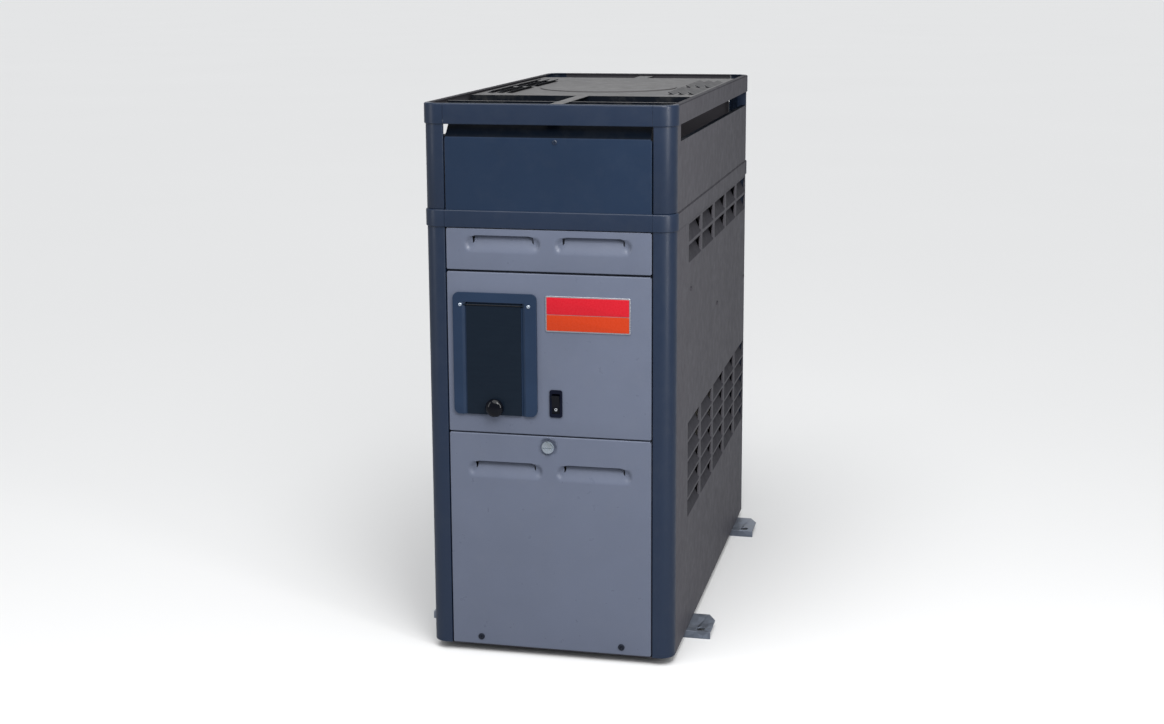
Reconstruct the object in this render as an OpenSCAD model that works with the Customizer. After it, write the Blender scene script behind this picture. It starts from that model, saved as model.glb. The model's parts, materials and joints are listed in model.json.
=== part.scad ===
// Gas pool heater: a tall narrow sheet-metal cabinet on two base rails, with a
// louvred side on each hand, lift-off front panels, a control recess under a
// tinted flap, a burner tray, a finned-tube heat exchanger and a vented top.
// Frame: origin on the floor at the middle of the footprint, +X to the right,
// -Y to the front, +Z up. Millimetres.

/* [Cabinet] */
// Width over the corner caps
cabinet_w = 381; // [378:1:390]
// Depth over the corner caps
cabinet_d = 800; // [796:1:830]
// Height from the underside of the cabinet to the top ring
cabinet_h = 834; // [830:1:850]
// Height of the base rails under the cabinet
rail_h = 12; // [10:1:20]
// Thickness of the panel sheet
sheet = 1.2; // [1:0.1:1.5]
// Thickness of the posts, collar and top ring
frame_sheet = 1.5; // [1.5:0.1:1.6]
// Outer radius of the corner posts
corner_r = 22; // [20:1:23]

/* [Sections] */
// Height of the underside of the collar
collar_z = 651; // [651:1:655]
// Height of the collar
collar_h = 26; // [24:1:30]
// Height of the top ring
ring_h = 30.6; // [28:0.2:32]
// Height of the gap between the access door and the control panel
door_gap_z = 338.5; // [336:0.5:339]
// Height of the gap between the control panel and the panel above it
top_gap_z = 586; // [584:0.5:588]

/* [Base rails] */
// Length of each rail across the cabinet
rail_l = 454; // [450:1:470]
// Width of each rail
rail_w = 78; // [70:1:80]
// Sideways distance between the anchor holes
anchor_x = 420; // [418:1:422]
// Front-to-back distance between the anchor holes
anchor_y = 522; // [520:1:524]
// Radius of the anchor holes
anchor_r = 6.5; // [5:0.5:7]

/* [Louvres] */
// Length of a side louvre
louvre_l = 113; // [100:1:120]
// Height of a side louvre
louvre_tall = 28; // [24:1:29]
// Depth that a side louvre is pressed in
louvre_in = 16; // [10:1:18]
// Number of louvre columns on each side
louvre_cols = 5; // [3:1:5]

/* [Water and gas connections] */
// Sideways distance of each water connection from the middle
port_x = 75; // [70:1:80]
// Height of the water connections
port_z = 470; // [470:1:472]
// Inner radius of the pipe sockets, for a 2 in pipe
socket_r = 30.2; // [29:0.1:30.5]
// Outer radius of the gas supply pipe, 3/4 in nominal
gas_r = 13.3; // [13:0.1:14]

/* [Hidden] */
$fn = 48;
eps = 1;                                // overshoot of a cut beyond a face
half_w = cabinet_w / 2;
half_d = cabinet_d / 2;
proud = frame_sheet;                    // caps and rings stand this far proud
panel_x = half_w - proud;               // outer face of the posts and side panels
panel_y = half_d - proud;               // outer face of the posts and front panels
knob_reach = 16;                        // knob of the flap, beyond the front caps
socket_reach = 60;                      // pipe sockets, beyond the rear caps
y_shift = (knob_reach - socket_reach) / 2;

pan_t = sheet;                          // floor of the base pan
cap_leg_x = 33.5;                       // reach of a corner cap along the front
cap_leg_y = 26;                         // reach of a corner cap along the side
post_leg_x = 32;                        // reach of a post along the front
post_leg_y = 24.5;                      // reach of a post along the side
post_return = 16;
upper_return = 4;                       // front return of the upper posts
seam = 0.4;                             // gap between a cap and a bar
ring_z = cabinet_h - ring_h;
ring_lip = 8;                           // top lip of the top ring
ring_foot = 9;                          // bottom lip of the top ring and the collar
collar_top = collar_z + collar_h;
flange = 14;                            // return flange of the front panels
front_half = 155.3;                     // half width of the front panels
side_half = panel_y - post_leg_y - 0.6; // half length of the side panels

// Upper panels: a sloped lip tops the end ones, an open slot the side ones
upper_front_z = 785;
upper_slope = 17.5;
lip_cut = 20;                           // how far each end of the front lip is cut back
upper_side_z = 779;
side_lip = 8;                           // hem folded in below the slot
slot_from = 348;                        // the side slot starts this far forward

// Louvres: heights of the rows and front end of the first column
rows_upper = [618, 586];
rows_lower = [for (i = [0:4]) 308 - 31 * i];
louvre_first = -270;
louvre_pitch = 132;

// Finger pulls in the front panels
pull_l = 93;
pull_x = 22;
pull_tall = 28;
pull_in = 14;
pull_top_upper = 640;
pull_top_door = 295;

// Top grille
grille_z = ring_z + ring_h - 4;         // upper face of the grille plate
grille_half = half_w - ring_lip - 0.3;
grille_end = half_d - ring_lip - 0.3;
plate_front = -160;
plate_rear = 325;
bar_y = -287;
bar_w = 6;
disc_r = 115;
disc_y = 40;
disc_t = 1.5;
hood_h = 3.9;                           // height of the vent hoods

// Control recess, behind the flap
bezel = [-145.5, -17, 368, 554];        // left, right, bottom, top
recess = [-126.2, -39.5, 368, 540];
tub = [-122, -43.7, 376, 528];
bezel_out = 4.5;
ledge = 1.5;
side_slope = 5;                         // width of the bezel's sloped inner sides
tub_deep = 30;
tub_t = 2;
flap = [-124.7, -41, 368.5];            // left, right, bottom
flap_t = 2;
flap_face = 3.9;
hinge_z = 535.5;
hinge_in = 2.3;                         // hinge axis, in front of the panel face
barrel_r = 1.9;
pin_r = 1.5;
pin_bore_r = 1.56;
pin_l = 5;
knob = [-81.6, 380.4];
button_x = [-104, -83, -62];
button_z = 425;
button_r = 6;
button_face = 10;
display_face = 14;

// Rocker switch
rocker = [1.5, 20.9, 368.5, 410.3];
rocker_x = (rocker[0] + rocker[1]) / 2;
rocker_z = (rocker[2] + rocker[3]) / 2;
rocker_pivot = 1.5;                     // pivot axis, behind the panel face
rocker_tilt = 7;
rocker_hole = [16.6, 37];

// Screws: [along the panel, height]
screw_r = 3.6;
screw_hole_r = 2.1;
shank_r = 1.9;
side_screws = [[-249, 544], [27, 471], [364, 460]];
rear_screws = [for (x = [-146, 146], z = [20, 325, 630]) [x, z]];
upper_rear_screws = [[-146, 700], [146, 700]];
upper_front_screw = [12, 779];
bezel_screws = [[-134, 535.5], [-29, 535.5]];
latch = [-2, 321.3];
door_screws = [[-110, 14.3], [110, 14.3]];

// Heat exchanger and combustion
tubes = 6;
tube_pitch = 44;
tube_r = 14;
fin_r = 20;
fins = 18;
hx_front = -285;
hx_rear = 305;
header_half = 140;
header_h = 60;
chamber = [150, -290, 300, 180, 440];   // half width, front, rear, bottom, top
board = 25;
burner_count = 5;
burner_pitch = 52;
manifold_y = -348;
manifold_z = 96;                        // level with the burners' mixing tubes
valve = [-60, 0, -374, -322, 150, 200];
gas_z = 175;
gas_end = 184;                          // mouth of the gas coupling, inside the left side
gas_socket = 27;                        // depth of its socket
gas_hole_r = 21;
port_front = 345;
port_end = 416;
port_r = 40;
nut_y = [402, 430];
nut_r = 48;
bracket_y = -330;

// ---------- Shared shapes ----------

// Puts a shape drawn about the cabinet's own footprint on its rails
module on_rails() translate([0, y_shift, rail_h]) children();

// Box between two corners
module box(a, b) translate(a) cube(b - a);

// Prism along X from x0, of a section drawn as [depth, height]
module prism_x(x0, length) translate([x0, 0, 0]) rotate([90, 0, 90]) linear_extrude(length) children();

// Cylinder along +Y from y0
module rod_y(x, y0, z, r, length) translate([x, y0, z]) rotate([-90, 0, 0]) cylinder(r = r, h = length);

// Cylinder along +X from x0
module rod_x(x0, y, z, r, length) translate([x0, y, z]) rotate([0, 90, 0]) cylinder(r = r, h = length);

// The same shape at all four corners
module four_corners() for (sx = [0, 1], sy = [0, 1]) mirror([sx, 0, 0]) mirror([0, sy, 0]) children();

// Filled front right corner, rounded at the origin
module corner_fill(leg_x, leg_y, r) {
    translate([-leg_x, 0]) square([leg_x - r, leg_y]);
    translate([-leg_x, r]) square([leg_x, leg_y - r]);
    translate([-r, r]) intersection() {
        circle(r);
        translate([0, -r]) square(r);
    }
}

// Bent skin round a corner, t thick
module corner_skin(leg_x, leg_y, r, t) difference() {
    corner_fill(leg_x, leg_y, r);
    translate([-t, t]) corner_fill(leg_x, leg_y, r - t);
}

// Post section: a skin with a return behind each edge, the front one of a given depth
module post_section(back) {
    corner_skin(post_leg_x, post_leg_y, corner_r, frame_sheet);
    translate([-post_leg_x, 0]) square([frame_sheet, back]);
    translate([-post_return, post_leg_y - frame_sheet]) square([post_return, frame_sheet]);
}

module post(z0, z1, back = post_return) translate([panel_x, -panel_y, z0])
    linear_extrude(z1 - z0) post_section(back);

// Corner cap: skin with lips of the given widths at its top and bottom
module corner_cap(z0, h, top_lip, foot) translate([half_w, -half_d, z0]) {
    cap_r = corner_r + proud;
    linear_extrude(h) corner_skin(cap_leg_x, cap_leg_y, cap_r, frame_sheet);
    translate([0, 0, h - frame_sheet]) linear_extrude(frame_sheet)
        corner_skin(cap_leg_x, cap_leg_y, cap_r, top_lip);
    linear_extrude(frame_sheet) corner_skin(cap_leg_x, cap_leg_y, cap_r, foot);
}

// Channel bar along X with its skin on y = 0
module channel_bar(length, z0, h, top_lip, foot) translate([-length / 2, 0, z0]) {
    cube([length, frame_sheet, h]);
    cube([length, foot, frame_sheet]);
    translate([0, 0, h - frame_sheet]) cube([length, top_lip, frame_sheet]);
}

// Turns a shape drawn on the front face onto the right side
module on_right() translate([panel_x, 0, 0]) rotate([0, 0, 90]) children();
module on_front() translate([0, -panel_y, 0]) children();
module on_rear() mirror([0, 1, 0]) translate([0, -panel_y, 0]) children();

// Rectangle from corner a to corner b with rounded corners
module rounded(a, b, r) {
    for (x = [a[0] + r, b[0] - r], z = [a[1] + r, b[1] - r]) translate([x, z]) circle(r);
    translate([a[0] + r, a[1]]) square([b[0] - a[0] - 2 * r, b[1] - a[1]]);
    translate([a[0], a[1] + r]) square([b[0] - a[0], b[1] - a[1] - 2 * r]);
}

// The same rounded rectangle as a plate standing out of the face y = 0
module face_plate(a, b, r, t) rotate([90, 0, 0]) linear_extrude(t) rounded(a, b, r);

// Skin of a louvre pressed in, x0 to x0 + length, with its foot at z0
module louvre_skin(x0, z0, length, tall, deep) translate([0, 0, z0]) prism_x(x0, length)
    polygon([[sheet / 2, sheet / 2 * tall / deep], [deep, tall], [sheet / 2, tall]]);

// Space inside the louvre, open at its mouth and at its top
module louvre_space(x0, z0, length, tall, deep) {
    wall = sheet * sqrt(deep * deep + tall * tall) / tall;
    slope = tall / deep;
    translate([0, 0, z0]) prism_x(x0 + sheet, length - 2 * sheet)
        polygon([[-eps, (wall - eps) * slope], [-eps, tall], [sheet, tall], [sheet, tall + eps],
            [deep - wall, tall + eps], [deep - wall, tall]]);
}

// Both finger pulls of a front panel
module pulls_skin(top_z) for (x = [-pull_x - pull_l, pull_x])
    louvre_skin(x, top_z - pull_tall, pull_l, pull_tall, pull_in);
module pulls_space(top_z) for (x = [-pull_x - pull_l, pull_x])
    louvre_space(x, top_z - pull_tall, pull_l, pull_tall, pull_in);

// Shallow pan: a skin with return flanges on all four sides
module pan(x0, x1, z0, z1, deep) difference() {
    box([x0, 0, z0], [x1, deep, z1]);
    box([x0 + sheet, sheet, z0 + sheet], [x1 - sheet, deep + eps, z1 - sheet]);
}

// Drills for screws on a face, [along, height] each
module drills(list, r) for (p = list) rod_y(p[0], -eps, p[1], r, sheet + 2 * eps);

// Pan-head screw standing out of the face y = 0
module pan_screw(p) {
    rod_y(p[0], -2, p[1], screw_r, 2);
    rod_y(p[0], -eps, p[1], shank_r, 9);
}

// ---------- Base ----------

module base_rail(y0) {
    chamfer_x = 12.6;
    chamfer_y = 24;
    rail_t = 2;
    lip = 12;
    hole_y = y0 < 0 ? -anchor_y / 2 : anchor_y / 2;
    half_l = rail_l / 2;
    on_rails() difference() {
        union() {
            translate([0, 0, -rail_t]) linear_extrude(rail_t) polygon([[-half_l, y0], [half_l, y0],
                [half_l, y0 + rail_w - chamfer_y], [half_l - chamfer_x, y0 + rail_w],
                [-half_l + chamfer_x, y0 + rail_w], [-half_l, y0 + rail_w - chamfer_y]]);
            box([-half_l, y0, -rail_h], [half_l, y0 + rail_t, 0]);
            box([chamfer_x - half_l, y0 + rail_w - rail_t, -rail_h], [half_l - chamfer_x, y0 + rail_w, 0]);
            box([-half_l + 40, y0, -rail_h], [half_l - 40, y0 + lip, rail_t - rail_h]);
            box([-half_l + 40, y0 + rail_w - lip, -rail_h], [half_l - 40, y0 + rail_w, rail_t - rail_h]);
        }
        for (x = [-anchor_x / 2, anchor_x / 2])
            translate([x, hole_y, -rail_t - eps]) cylinder(r = anchor_r, h = rail_t + 2 * eps);
    }
}

module base_rail_front() color("#6e7482") base_rail(-anchor_y / 2 - 12);
module base_rail_rear() color("#6e7482") base_rail(anchor_y / 2 - 12);

module base_pan() color("#4c5058") on_rails() {
    hem = 8;
    inset = 3;
    linear_extrude(pan_t)
        rounded([inset - panel_x, inset - panel_y], [panel_x - inset, panel_y - inset], corner_r - inset);
    for (s = [0, 1]) mirror([s, 0, 0])
        box([panel_x - 2 * sheet, -side_half + 20, 0], [panel_x - sheet, side_half - 20, hem]);
}

// ---------- Frame ----------

module front_right_post() color("#2a384e") on_rails() post(pan_t, collar_z);
module front_left_post() color("#2a384e") on_rails() mirror([1, 0, 0]) post(pan_t, collar_z);
module rear_right_post() color("#2a384e") on_rails() mirror([0, 1, 0]) post(pan_t, collar_z);
module rear_left_post() color("#2a384e") on_rails() mirror([1, 0, 0]) mirror([0, 1, 0]) post(pan_t, collar_z);

bar_x = 2 * (half_w - cap_leg_x - seam);
bar_d = 2 * (half_d - cap_leg_y - seam);

module collar_corner_caps() color("#2a384e") on_rails() four_corners()
    corner_cap(collar_z, collar_h, ring_foot, ring_foot);
module collar_front_bar() color("#2a384e") on_rails() translate([0, -half_d, 0])
    channel_bar(bar_x, collar_z, collar_h, ring_foot, ring_foot);
module collar_rear_bar() color("#56585f") on_rails() mirror([0, 1, 0]) translate([0, -half_d, 0])
    channel_bar(bar_x, collar_z, collar_h, ring_foot, ring_foot);
module collar_side_bars() color("#5c5b5f") on_rails() for (s = [0, 1]) mirror([s, 0, 0])
    translate([half_w, 0, 0]) rotate([0, 0, 90])
        channel_bar(bar_d, collar_z, collar_h, ring_foot, ring_foot);

module upper_posts() color("#2a384e") on_rails() four_corners() post(collar_top, ring_z, upper_return);

module top_corner_caps() color("#2a384e") on_rails() four_corners()
    corner_cap(ring_z, ring_h, ring_lip, ring_foot);
module top_front_bar() color("#2a384e") on_rails() translate([0, -half_d, 0])
    channel_bar(bar_x, ring_z, ring_h, ring_lip, ring_foot);
module top_rear_bar() color("#56585f") on_rails() mirror([0, 1, 0]) translate([0, -half_d, 0])
    channel_bar(bar_x, ring_z, ring_h, ring_lip, ring_foot);
module top_side_bars() color("#5c5b5f") on_rails() for (s = [0, 1]) mirror([s, 0, 0])
    translate([half_w, 0, 0]) rotate([0, 0, 90])
        channel_bar(bar_d, ring_z, ring_h, ring_lip, ring_foot);

// ---------- Top ----------

// One long vent hood: a slot with a flap that rises towards the middle
module vent_slot(x0, y0, length) box([x0 + 1, y0, grille_z - 3], [x0 + 11, y0 + length, grille_z + eps]);
module vent_hood(x0, y0, length) translate([0, y0 + length, grille_z]) rotate([90, 0, 0])
    linear_extrude(length) polygon([[x0 + 13, -sheet], [x0 + 13, 0], [x0 + 11, 0], [x0 + 1, hood_h],
        [x0 + 1, hood_h - sheet], [x0 + 11, -sheet]]);

module top_grille() color("#868482") on_rails() difference() {
    vent_l = 148;
    vents = [for (x = [127, 143, 159], y = [-110, 62]) [x, y]];
    union() {
        difference() {
            union() {
                box([-grille_half, plate_front, grille_z - sheet], [grille_half, plate_rear, grille_z]);
                box([-10, -grille_end, grille_z - sheet], [10, plate_front + eps, grille_z]);
                box([-grille_half, bar_y - bar_w / 2, grille_z - 12],
                    [grille_half, bar_y + bar_w / 2, grille_z]);
                box([-13, plate_rear - eps, grille_z - sheet], [13, grille_end, grille_z]);
                box([-grille_half, plate_front, grille_z - 12], [grille_half, plate_front + sheet, grille_z]);
                box([-grille_half, plate_rear - sheet, grille_z - 12], [grille_half, plate_rear, grille_z]);
            }
            for (v = vents, s = [0, 1]) mirror([s, 0, 0]) vent_slot(v[0], v[1], vent_l);
        }
        for (v = vents, s = [0, 1]) mirror([s, 0, 0]) vent_hood(v[0], v[1], vent_l);
    }
    translate([0, disc_y, grille_z - 3]) cylinder(r = disc_r - 9, h = 6, $fn = 96);
}

module flue_cover_disc() color("#868482") on_rails()
    translate([0, disc_y, grille_z]) cylinder(r = disc_r, h = disc_t, $fn = 96);

// ---------- Upper panels ----------

// Upright skin with a lip that slopes back and up from z1
module sloped_panel(half, z0, z1, run) {
    rise = run;
    prism_x(-half, 2 * half) polygon([[0, z0], [0, z1], [run, z1 + rise],
        [run + 0.7 * sheet, z1 + rise - 0.7 * sheet], [sheet, z1 - 0.4 * sheet], [sheet, z0]]);
}

module upper_end_panel() {
    sloped_panel(front_half, collar_top, upper_front_z, upper_slope);
    for (s = [0, 1]) mirror([s, 0, 0])
        box([front_half - sheet, 0, collar_top], [front_half, flange, upper_front_z - 2]);
}

module upper_front_panel() color("#2a384e") on_rails() on_front() difference() {
    upper_end_panel();
    // The lip's two ends are cut back at a slant
    for (s = [0, 1]) mirror([s, 0, 0]) translate([0, 40, 0]) rotate([90, 0, 0]) linear_extrude(80)
        polygon([[front_half + eps, upper_front_z + 1], [front_half - lip_cut, upper_front_z + upper_slope],
            [front_half - lip_cut, upper_front_z + 30], [front_half + eps, upper_front_z + 30]]);
    drills([upper_front_screw], screw_hole_r);
}
module upper_rear_panel() color("#56585f") on_rails() on_rear() difference() {
    upper_end_panel();
    drills(upper_rear_screws, screw_hole_r);
}

module upper_side_shape() on_right() {
    box([-side_half, 0, collar_top], [side_half, sheet, upper_side_z]);
    box([-slot_from, 0, upper_side_z - sheet], [side_half, side_lip, upper_side_z]);
    box([-side_half, 0, collar_top], [-slot_from, sheet, ring_z]);
}
module upper_right_panel() color("#5c5b5f") on_rails() upper_side_shape();
module upper_left_panel() color("#5c5b5f") on_rails() mirror([1, 0, 0]) upper_side_shape();

// ---------- Lower side and rear panels ----------

louvre_xs = [for (i = [0:louvre_cols - 1]) louvre_first + louvre_pitch * i];
louvre_zs = concat(rows_upper, rows_lower);

module side_panel_shape() on_right() difference() {
    union() {
        box([-side_half, 0, pan_t], [side_half, sheet, collar_z]);
        for (x = [-side_half, side_half - sheet]) box([x, 0, pan_t], [x + sheet, flange, collar_z - 2]);
        for (x = louvre_xs, z = louvre_zs) louvre_skin(x, z, louvre_l, louvre_tall, louvre_in);
    }
    for (x = louvre_xs, z = louvre_zs) louvre_space(x, z, louvre_l, louvre_tall, louvre_in);
    drills(side_screws, screw_hole_r);
}

module right_side_panel() color("#5c5b5f") on_rails() side_panel_shape();

// The left side also has the gas inlet hole and a conduit hole
module left_side_panel() color("#5c5b5f") on_rails() difference() {
    mirror([1, 0, 0]) side_panel_shape();
    rod_x(-half_w - eps, manifold_y, gas_z, gas_hole_r, 2 * sheet + 4);
    rod_x(-half_w - eps, -300, 450, 11.1, 2 * sheet + 4);
}

module rear_panel() color("#5c5b5f") on_rails() on_rear() difference() {
    pan(-front_half, front_half, pan_t, collar_z - 1, flange);
    for (s = [-1, 1]) rod_y(s * port_x, -eps, port_z, port_r + 4, sheet + 2 * eps);
    drills(rear_screws, screw_hole_r);
}

// ---------- Front panels ----------

module front_top_panel() color("#70747f") on_rails() on_front() difference() {
    union() {
        pan(-front_half, front_half, top_gap_z + 1.5, collar_z - 1, flange);
        pulls_skin(pull_top_upper);
    }
    pulls_space(pull_top_upper);
}

module control_panel() color("#70747f") on_rails() on_front() difference() {
    pan(-front_half, front_half, door_gap_z + 1.25, top_gap_z - 1.5, flange);
    box([tub[0] - tub_t - 0.5, -eps, tub[2] - tub_t - 0.5],
        [tub[1] + tub_t + 0.5, sheet + eps, recess[3] + 0.5]);
    box([rocker_x - rocker_hole[0] / 2 - 0.3, -eps, rocker_z - rocker_hole[1] / 2 - 0.3],
        [rocker_x + rocker_hole[0] / 2 + 0.3, sheet + eps, rocker_z + rocker_hole[1] / 2 + 0.3]);
    drills(bezel_screws, screw_hole_r);
}

module access_door() color("#70747f") on_rails() on_front() difference() {
    union() {
        pan(-front_half, front_half, pan_t + 0.8, door_gap_z - 1.25, flange);
        pulls_skin(pull_top_door);
    }
    pulls_space(pull_top_door);
    drills([latch], 3.4);
    drills(door_screws, screw_hole_r);
}

// ---------- Control recess ----------

module control_bezel() color("#2c3e56") on_rails() on_front() difference() {
    union() {
        face_plate([bezel[0], bezel[2]], [bezel[1], bezel[3]], 9, bezel_out);
        box([tub[0] - tub_t, -0.5, tub[2] - tub_t], [tub[1] + tub_t, tub_deep + tub_t, recess[3]]);
    }
    // Bed of the flap, open at the bottom, with sloped sides
    translate([0, 0, recess[2] - eps]) linear_extrude(recess[3] - recess[2] + eps)
        polygon([[recess[0] - side_slope, -bezel_out], [recess[0], -ledge], [recess[1], -ledge],
            [recess[1] + side_slope, -bezel_out], [recess[1] + side_slope, -bezel_out - eps],
            [recess[0] - side_slope, -bezel_out - eps]]);
    // Slot above the flap for its hinge barrel
    box([recess[0], -bezel_out - eps, hinge_z - 3], [recess[1], 0.6, recess[3]]);
    box([tub[0], -bezel_out, tub[2]], [tub[1], tub_deep, tub[3]]);
    rod_x(recess[0] - pin_l, -hinge_in, hinge_z, pin_bore_r, recess[1] - recess[0] + 2 * pin_l);
    for (p = bezel_screws) rod_y(p[0], -bezel_out - eps, p[1], screw_hole_r, bezel_out + 2 * eps);
}

module control_flap() color("#1c222c") on_rails() on_front() {
    box([flap[0], -flap_face, flap[2]], [flap[1], flap_t - flap_face, hinge_z]);
    rod_x(flap[0], -hinge_in, hinge_z, barrel_r, flap[1] - flap[0]);
    rod_x(recess[0] - pin_l + 0.5, -hinge_in, hinge_z, pin_r, recess[1] - recess[0] + 2 * pin_l - 1);
}

// Pull knob: a domed button on a short neck
module flap_knob() color("#101216") on_rails() translate([knob[0], -panel_y - flap_face, knob[1]])
    rotate([90, 0, 0]) rotate_extrude($fn = 64) polygon([[0, 0], [7.5, 0], [7.5, 2.6], [13, 4], [14, 5.6],
        [13.8, 7.6], [12.6, 9.6], [10.4, 11.4], [7.5, 12.7], [3.9, 13.4], [0, 13.6]]);

module display_module() color("#23272e") on_rails() on_front() difference() {
    box([-117, display_face, 382], [-49, tub_deep, 522]);
    box([-112, display_face - eps, 450], [-54, display_face + 3, 512]);
    for (x = button_x) rod_y(x, display_face - eps, button_z, button_r + 0.3, 9 + eps);
}
module display_lens() color("#3d4a3c") on_rails() on_front()
    box([-112 + 0.4, display_face, 450.4], [-54 - 0.4, display_face + 3, 511.6]);

module push_button(i) on_rails() on_front() rod_y(button_x[i], button_face, button_z, button_r, 10);
module mode_button() color("#9aa0a6") push_button(0);
module up_button() color("#9aa0a6") push_button(1);
module down_button() color("#9aa0a6") push_button(2);

module badge_plate() color("#d42c38") on_rails() on_front()
    face_plate([-3.9, 498.5], [124.6, 552.5], 2.5, 1.5);

// ---------- Rocker switch ----------

module rocker_housing() color("#14161a") on_rails() on_front() difference() {
    union() {
        face_plate([rocker[0], rocker[2]], [rocker[1], rocker[3]], 3.5, 2);
        box([rocker_x - rocker_hole[0] / 2, -eps, rocker_z - rocker_hole[1] / 2],
            [rocker_x + rocker_hole[0] / 2, 20, rocker_z + rocker_hole[1] / 2]);
        for (x = [-4, 4], z = [-10, 0, 10]) box([rocker_x + x - 0.4, 19, rocker_z + z - 3],
            [rocker_x + x + 0.4, 27, rocker_z + z + 3]);
    }
    box([rocker_x - 6.2, -2 - eps, rocker_z - 15.2], [rocker_x + 6.2, rocker_pivot + 8, rocker_z + 15.2]);
    rod_x(rocker_x - 7.8, rocker_pivot, rocker_z, pin_bore_r, 15.6);
}

module rocker_paddle() color("#1c1e23") on_rails() on_front()
    translate([0, rocker_pivot, rocker_z]) rotate([rocker_tilt, 0, 0]) {
        prism_x(rocker_x - 5.9, 11.8) polygon([[-5.6, -14], [-4, -5], [-4, 5], [-5.6, 14], [2, 13.2],
            [5, 7], [5, -7], [2, -13.2]]);
        rod_x(rocker_x - 7.6, 0, 0, pin_r, 15.2);
    }

// ---------- Screws ----------

// Slotted latch screw of the access door
module latch_screw() color("#b4c3d2") on_rails() on_front() difference() {
    union() {
        rod_y(latch[0], -1.2, latch[1], 9.5, 1.2);
        rod_y(latch[0], -5, latch[1], 8, 4);
        rod_y(latch[0], -eps, latch[1], 3, 17);
    }
    box([latch[0] - 9, -5 - eps, latch[1] - 1], [latch[0] + 9, -3, latch[1] + 1]);
}

module door_screws() color("#2a2c30") on_rails() on_front() for (p = door_screws) {
    rod_y(p[0], -2.2, p[1], 5, 2.2);
    rod_y(p[0], -eps, p[1], shank_r, 9);
}

module panel_screws() color("#9a9da2") on_rails() {
    on_front() pan_screw(upper_front_screw);
    for (s = [0, 1]) mirror([s, 0, 0]) on_right() for (p = side_screws) pan_screw(p);
    on_rear() for (p = concat(rear_screws, upper_rear_screws)) pan_screw(p);
    on_front() translate([0, -bezel_out, 0]) for (p = bezel_screws) {
        rod_y(p[0], -1.5, p[1], 3, 1.5);
        rod_y(p[0], -eps, p[1], shank_r, 12);
    }
}

// ---------- Controls inside ----------

module control_bracket() color("#8b9096") on_rails()
    box([sheet - panel_x, bracket_y, door_gap_z + 6], [panel_x - sheet, bracket_y + sheet, top_gap_z - 3]);

module ignition_module() color("#30343a") on_rails() {
    box([35, bracket_y - 30, 400], [125, bracket_y, 480]);
    for (x = [50:20:110]) box([x, bracket_y - 36, 474], [x + 6, bracket_y - 29, 479]);
}

module transformer() color("#50463c") on_rails() {
    box([50, bracket_y - 36, 505], [105, bracket_y, 550]);
    box([60, bracket_y - 44, 512], [95, bracket_y - 35, 543]);
}

// ---------- Burners and gas train ----------

burner_xs = [for (i = [0:burner_count - 1]) (i - (burner_count - 1) / 2) * burner_pitch];

module burner_tray() color("#8b9096") on_rails() {
    box([-chamber[0], -300, pan_t], [chamber[0], 300, pan_t + sheet]);
    for (s = [0, 1]) mirror([s, 0, 0])
        box([chamber[0] - sheet, -300, pan_t], [chamber[0], 300, chamber[3]]);
    for (y = [-280, 258]) box([-chamber[0], y, pan_t], [chamber[0], y + sheet, 82]);
}

// Ribbon burner: a deep narrow trough with ribbon strips in its mouth, on a round
// mixing tube with a bell mouth
module burner(x) {
    mouth = -326;
    bell_l = 20;
    wall = 1.2;
    mixer_r = 14;
    mixer_l = 560;
    trough = [8, -270, 232, 150];       // half width, front, rear, top
    translate([x, mouth, manifold_z]) rotate([-90, 0, 0]) rotate_extrude($fn = 32)
        polygon([[20 - wall, 0], [20, 0], [mixer_r, bell_l], [mixer_r - wall, bell_l]]);
    difference() {
        union() {
            rod_y(x, mouth + bell_l - 1, manifold_z, mixer_r, mixer_l);
            box([x - trough[0], trough[1], manifold_z], [x + trough[0], trough[2], trough[3]]);
        }
        rod_y(x, mouth + bell_l - 1 - eps, manifold_z, mixer_r - wall, mixer_l + eps - wall);
        box([x - trough[0] + wall, trough[1] + wall, manifold_z],
            [x + trough[0] - wall, trough[2] - wall, trough[3] + eps]);
    }
    for (strip = [-3.4, 0, 3.4]) box([x + strip - 0.5, trough[1] + wall / 2, trough[3] - 12],
        [x + strip + 0.5, trough[2] - wall / 2, trough[3] - 1]);
}
module burners() color("#7c7f84") on_rails() for (x = burner_xs) burner(x);

module gas_manifold() color("#3a3c40") on_rails() {
    rod_x(-138, manifold_y, manifold_z, gas_r, 276);
    for (x = burner_xs) rod_y(x, manifold_y, manifold_z, 5, 20);
    translate([(valve[0] + valve[1]) / 2, manifold_y, manifold_z])
        cylinder(r = 11, h = valve[4] - manifold_z);
}

module gas_valve() color("#a4a8ae") on_rails() {
    box([valve[0], valve[2], valve[4]], [valve[1], valve[3], valve[5]]);
    translate([valve[0] + 16, manifold_y, valve[5] - eps]) cylinder(r = 4, h = eps + 3);
    translate([valve[1] - 14, manifold_y, valve[5] - eps]) cylinder(r = 10, h = eps + 14);
}

module gas_valve_knob() color("#b03024") on_rails()
    translate([valve[0] + 16, manifold_y, valve[5] + 3]) {
        cylinder(r = 12, h = 9);
        translate([-2, -12, 0]) cube([4, 24, 14]);
    }

// Pipe nipple on the valve, with a coupling that the supply pipe enters through the left side
module gas_inlet_nipple() color("#4a4c50") on_rails() difference() {
    union() {
        rod_x(-gas_end, manifold_y, gas_z, gas_r + 4.5, gas_socket + 13);
        rod_x(-gas_end + gas_socket, manifold_y, gas_z, gas_r - 0.4, gas_end - gas_socket + valve[0]);
    }
    rod_x(-gas_end - eps, manifold_y, gas_z, gas_r + 0.2, gas_socket + eps);
    rod_x(-gas_end, manifold_y, gas_z, 10.4, gas_end + valve[0] - 6);
}

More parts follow.
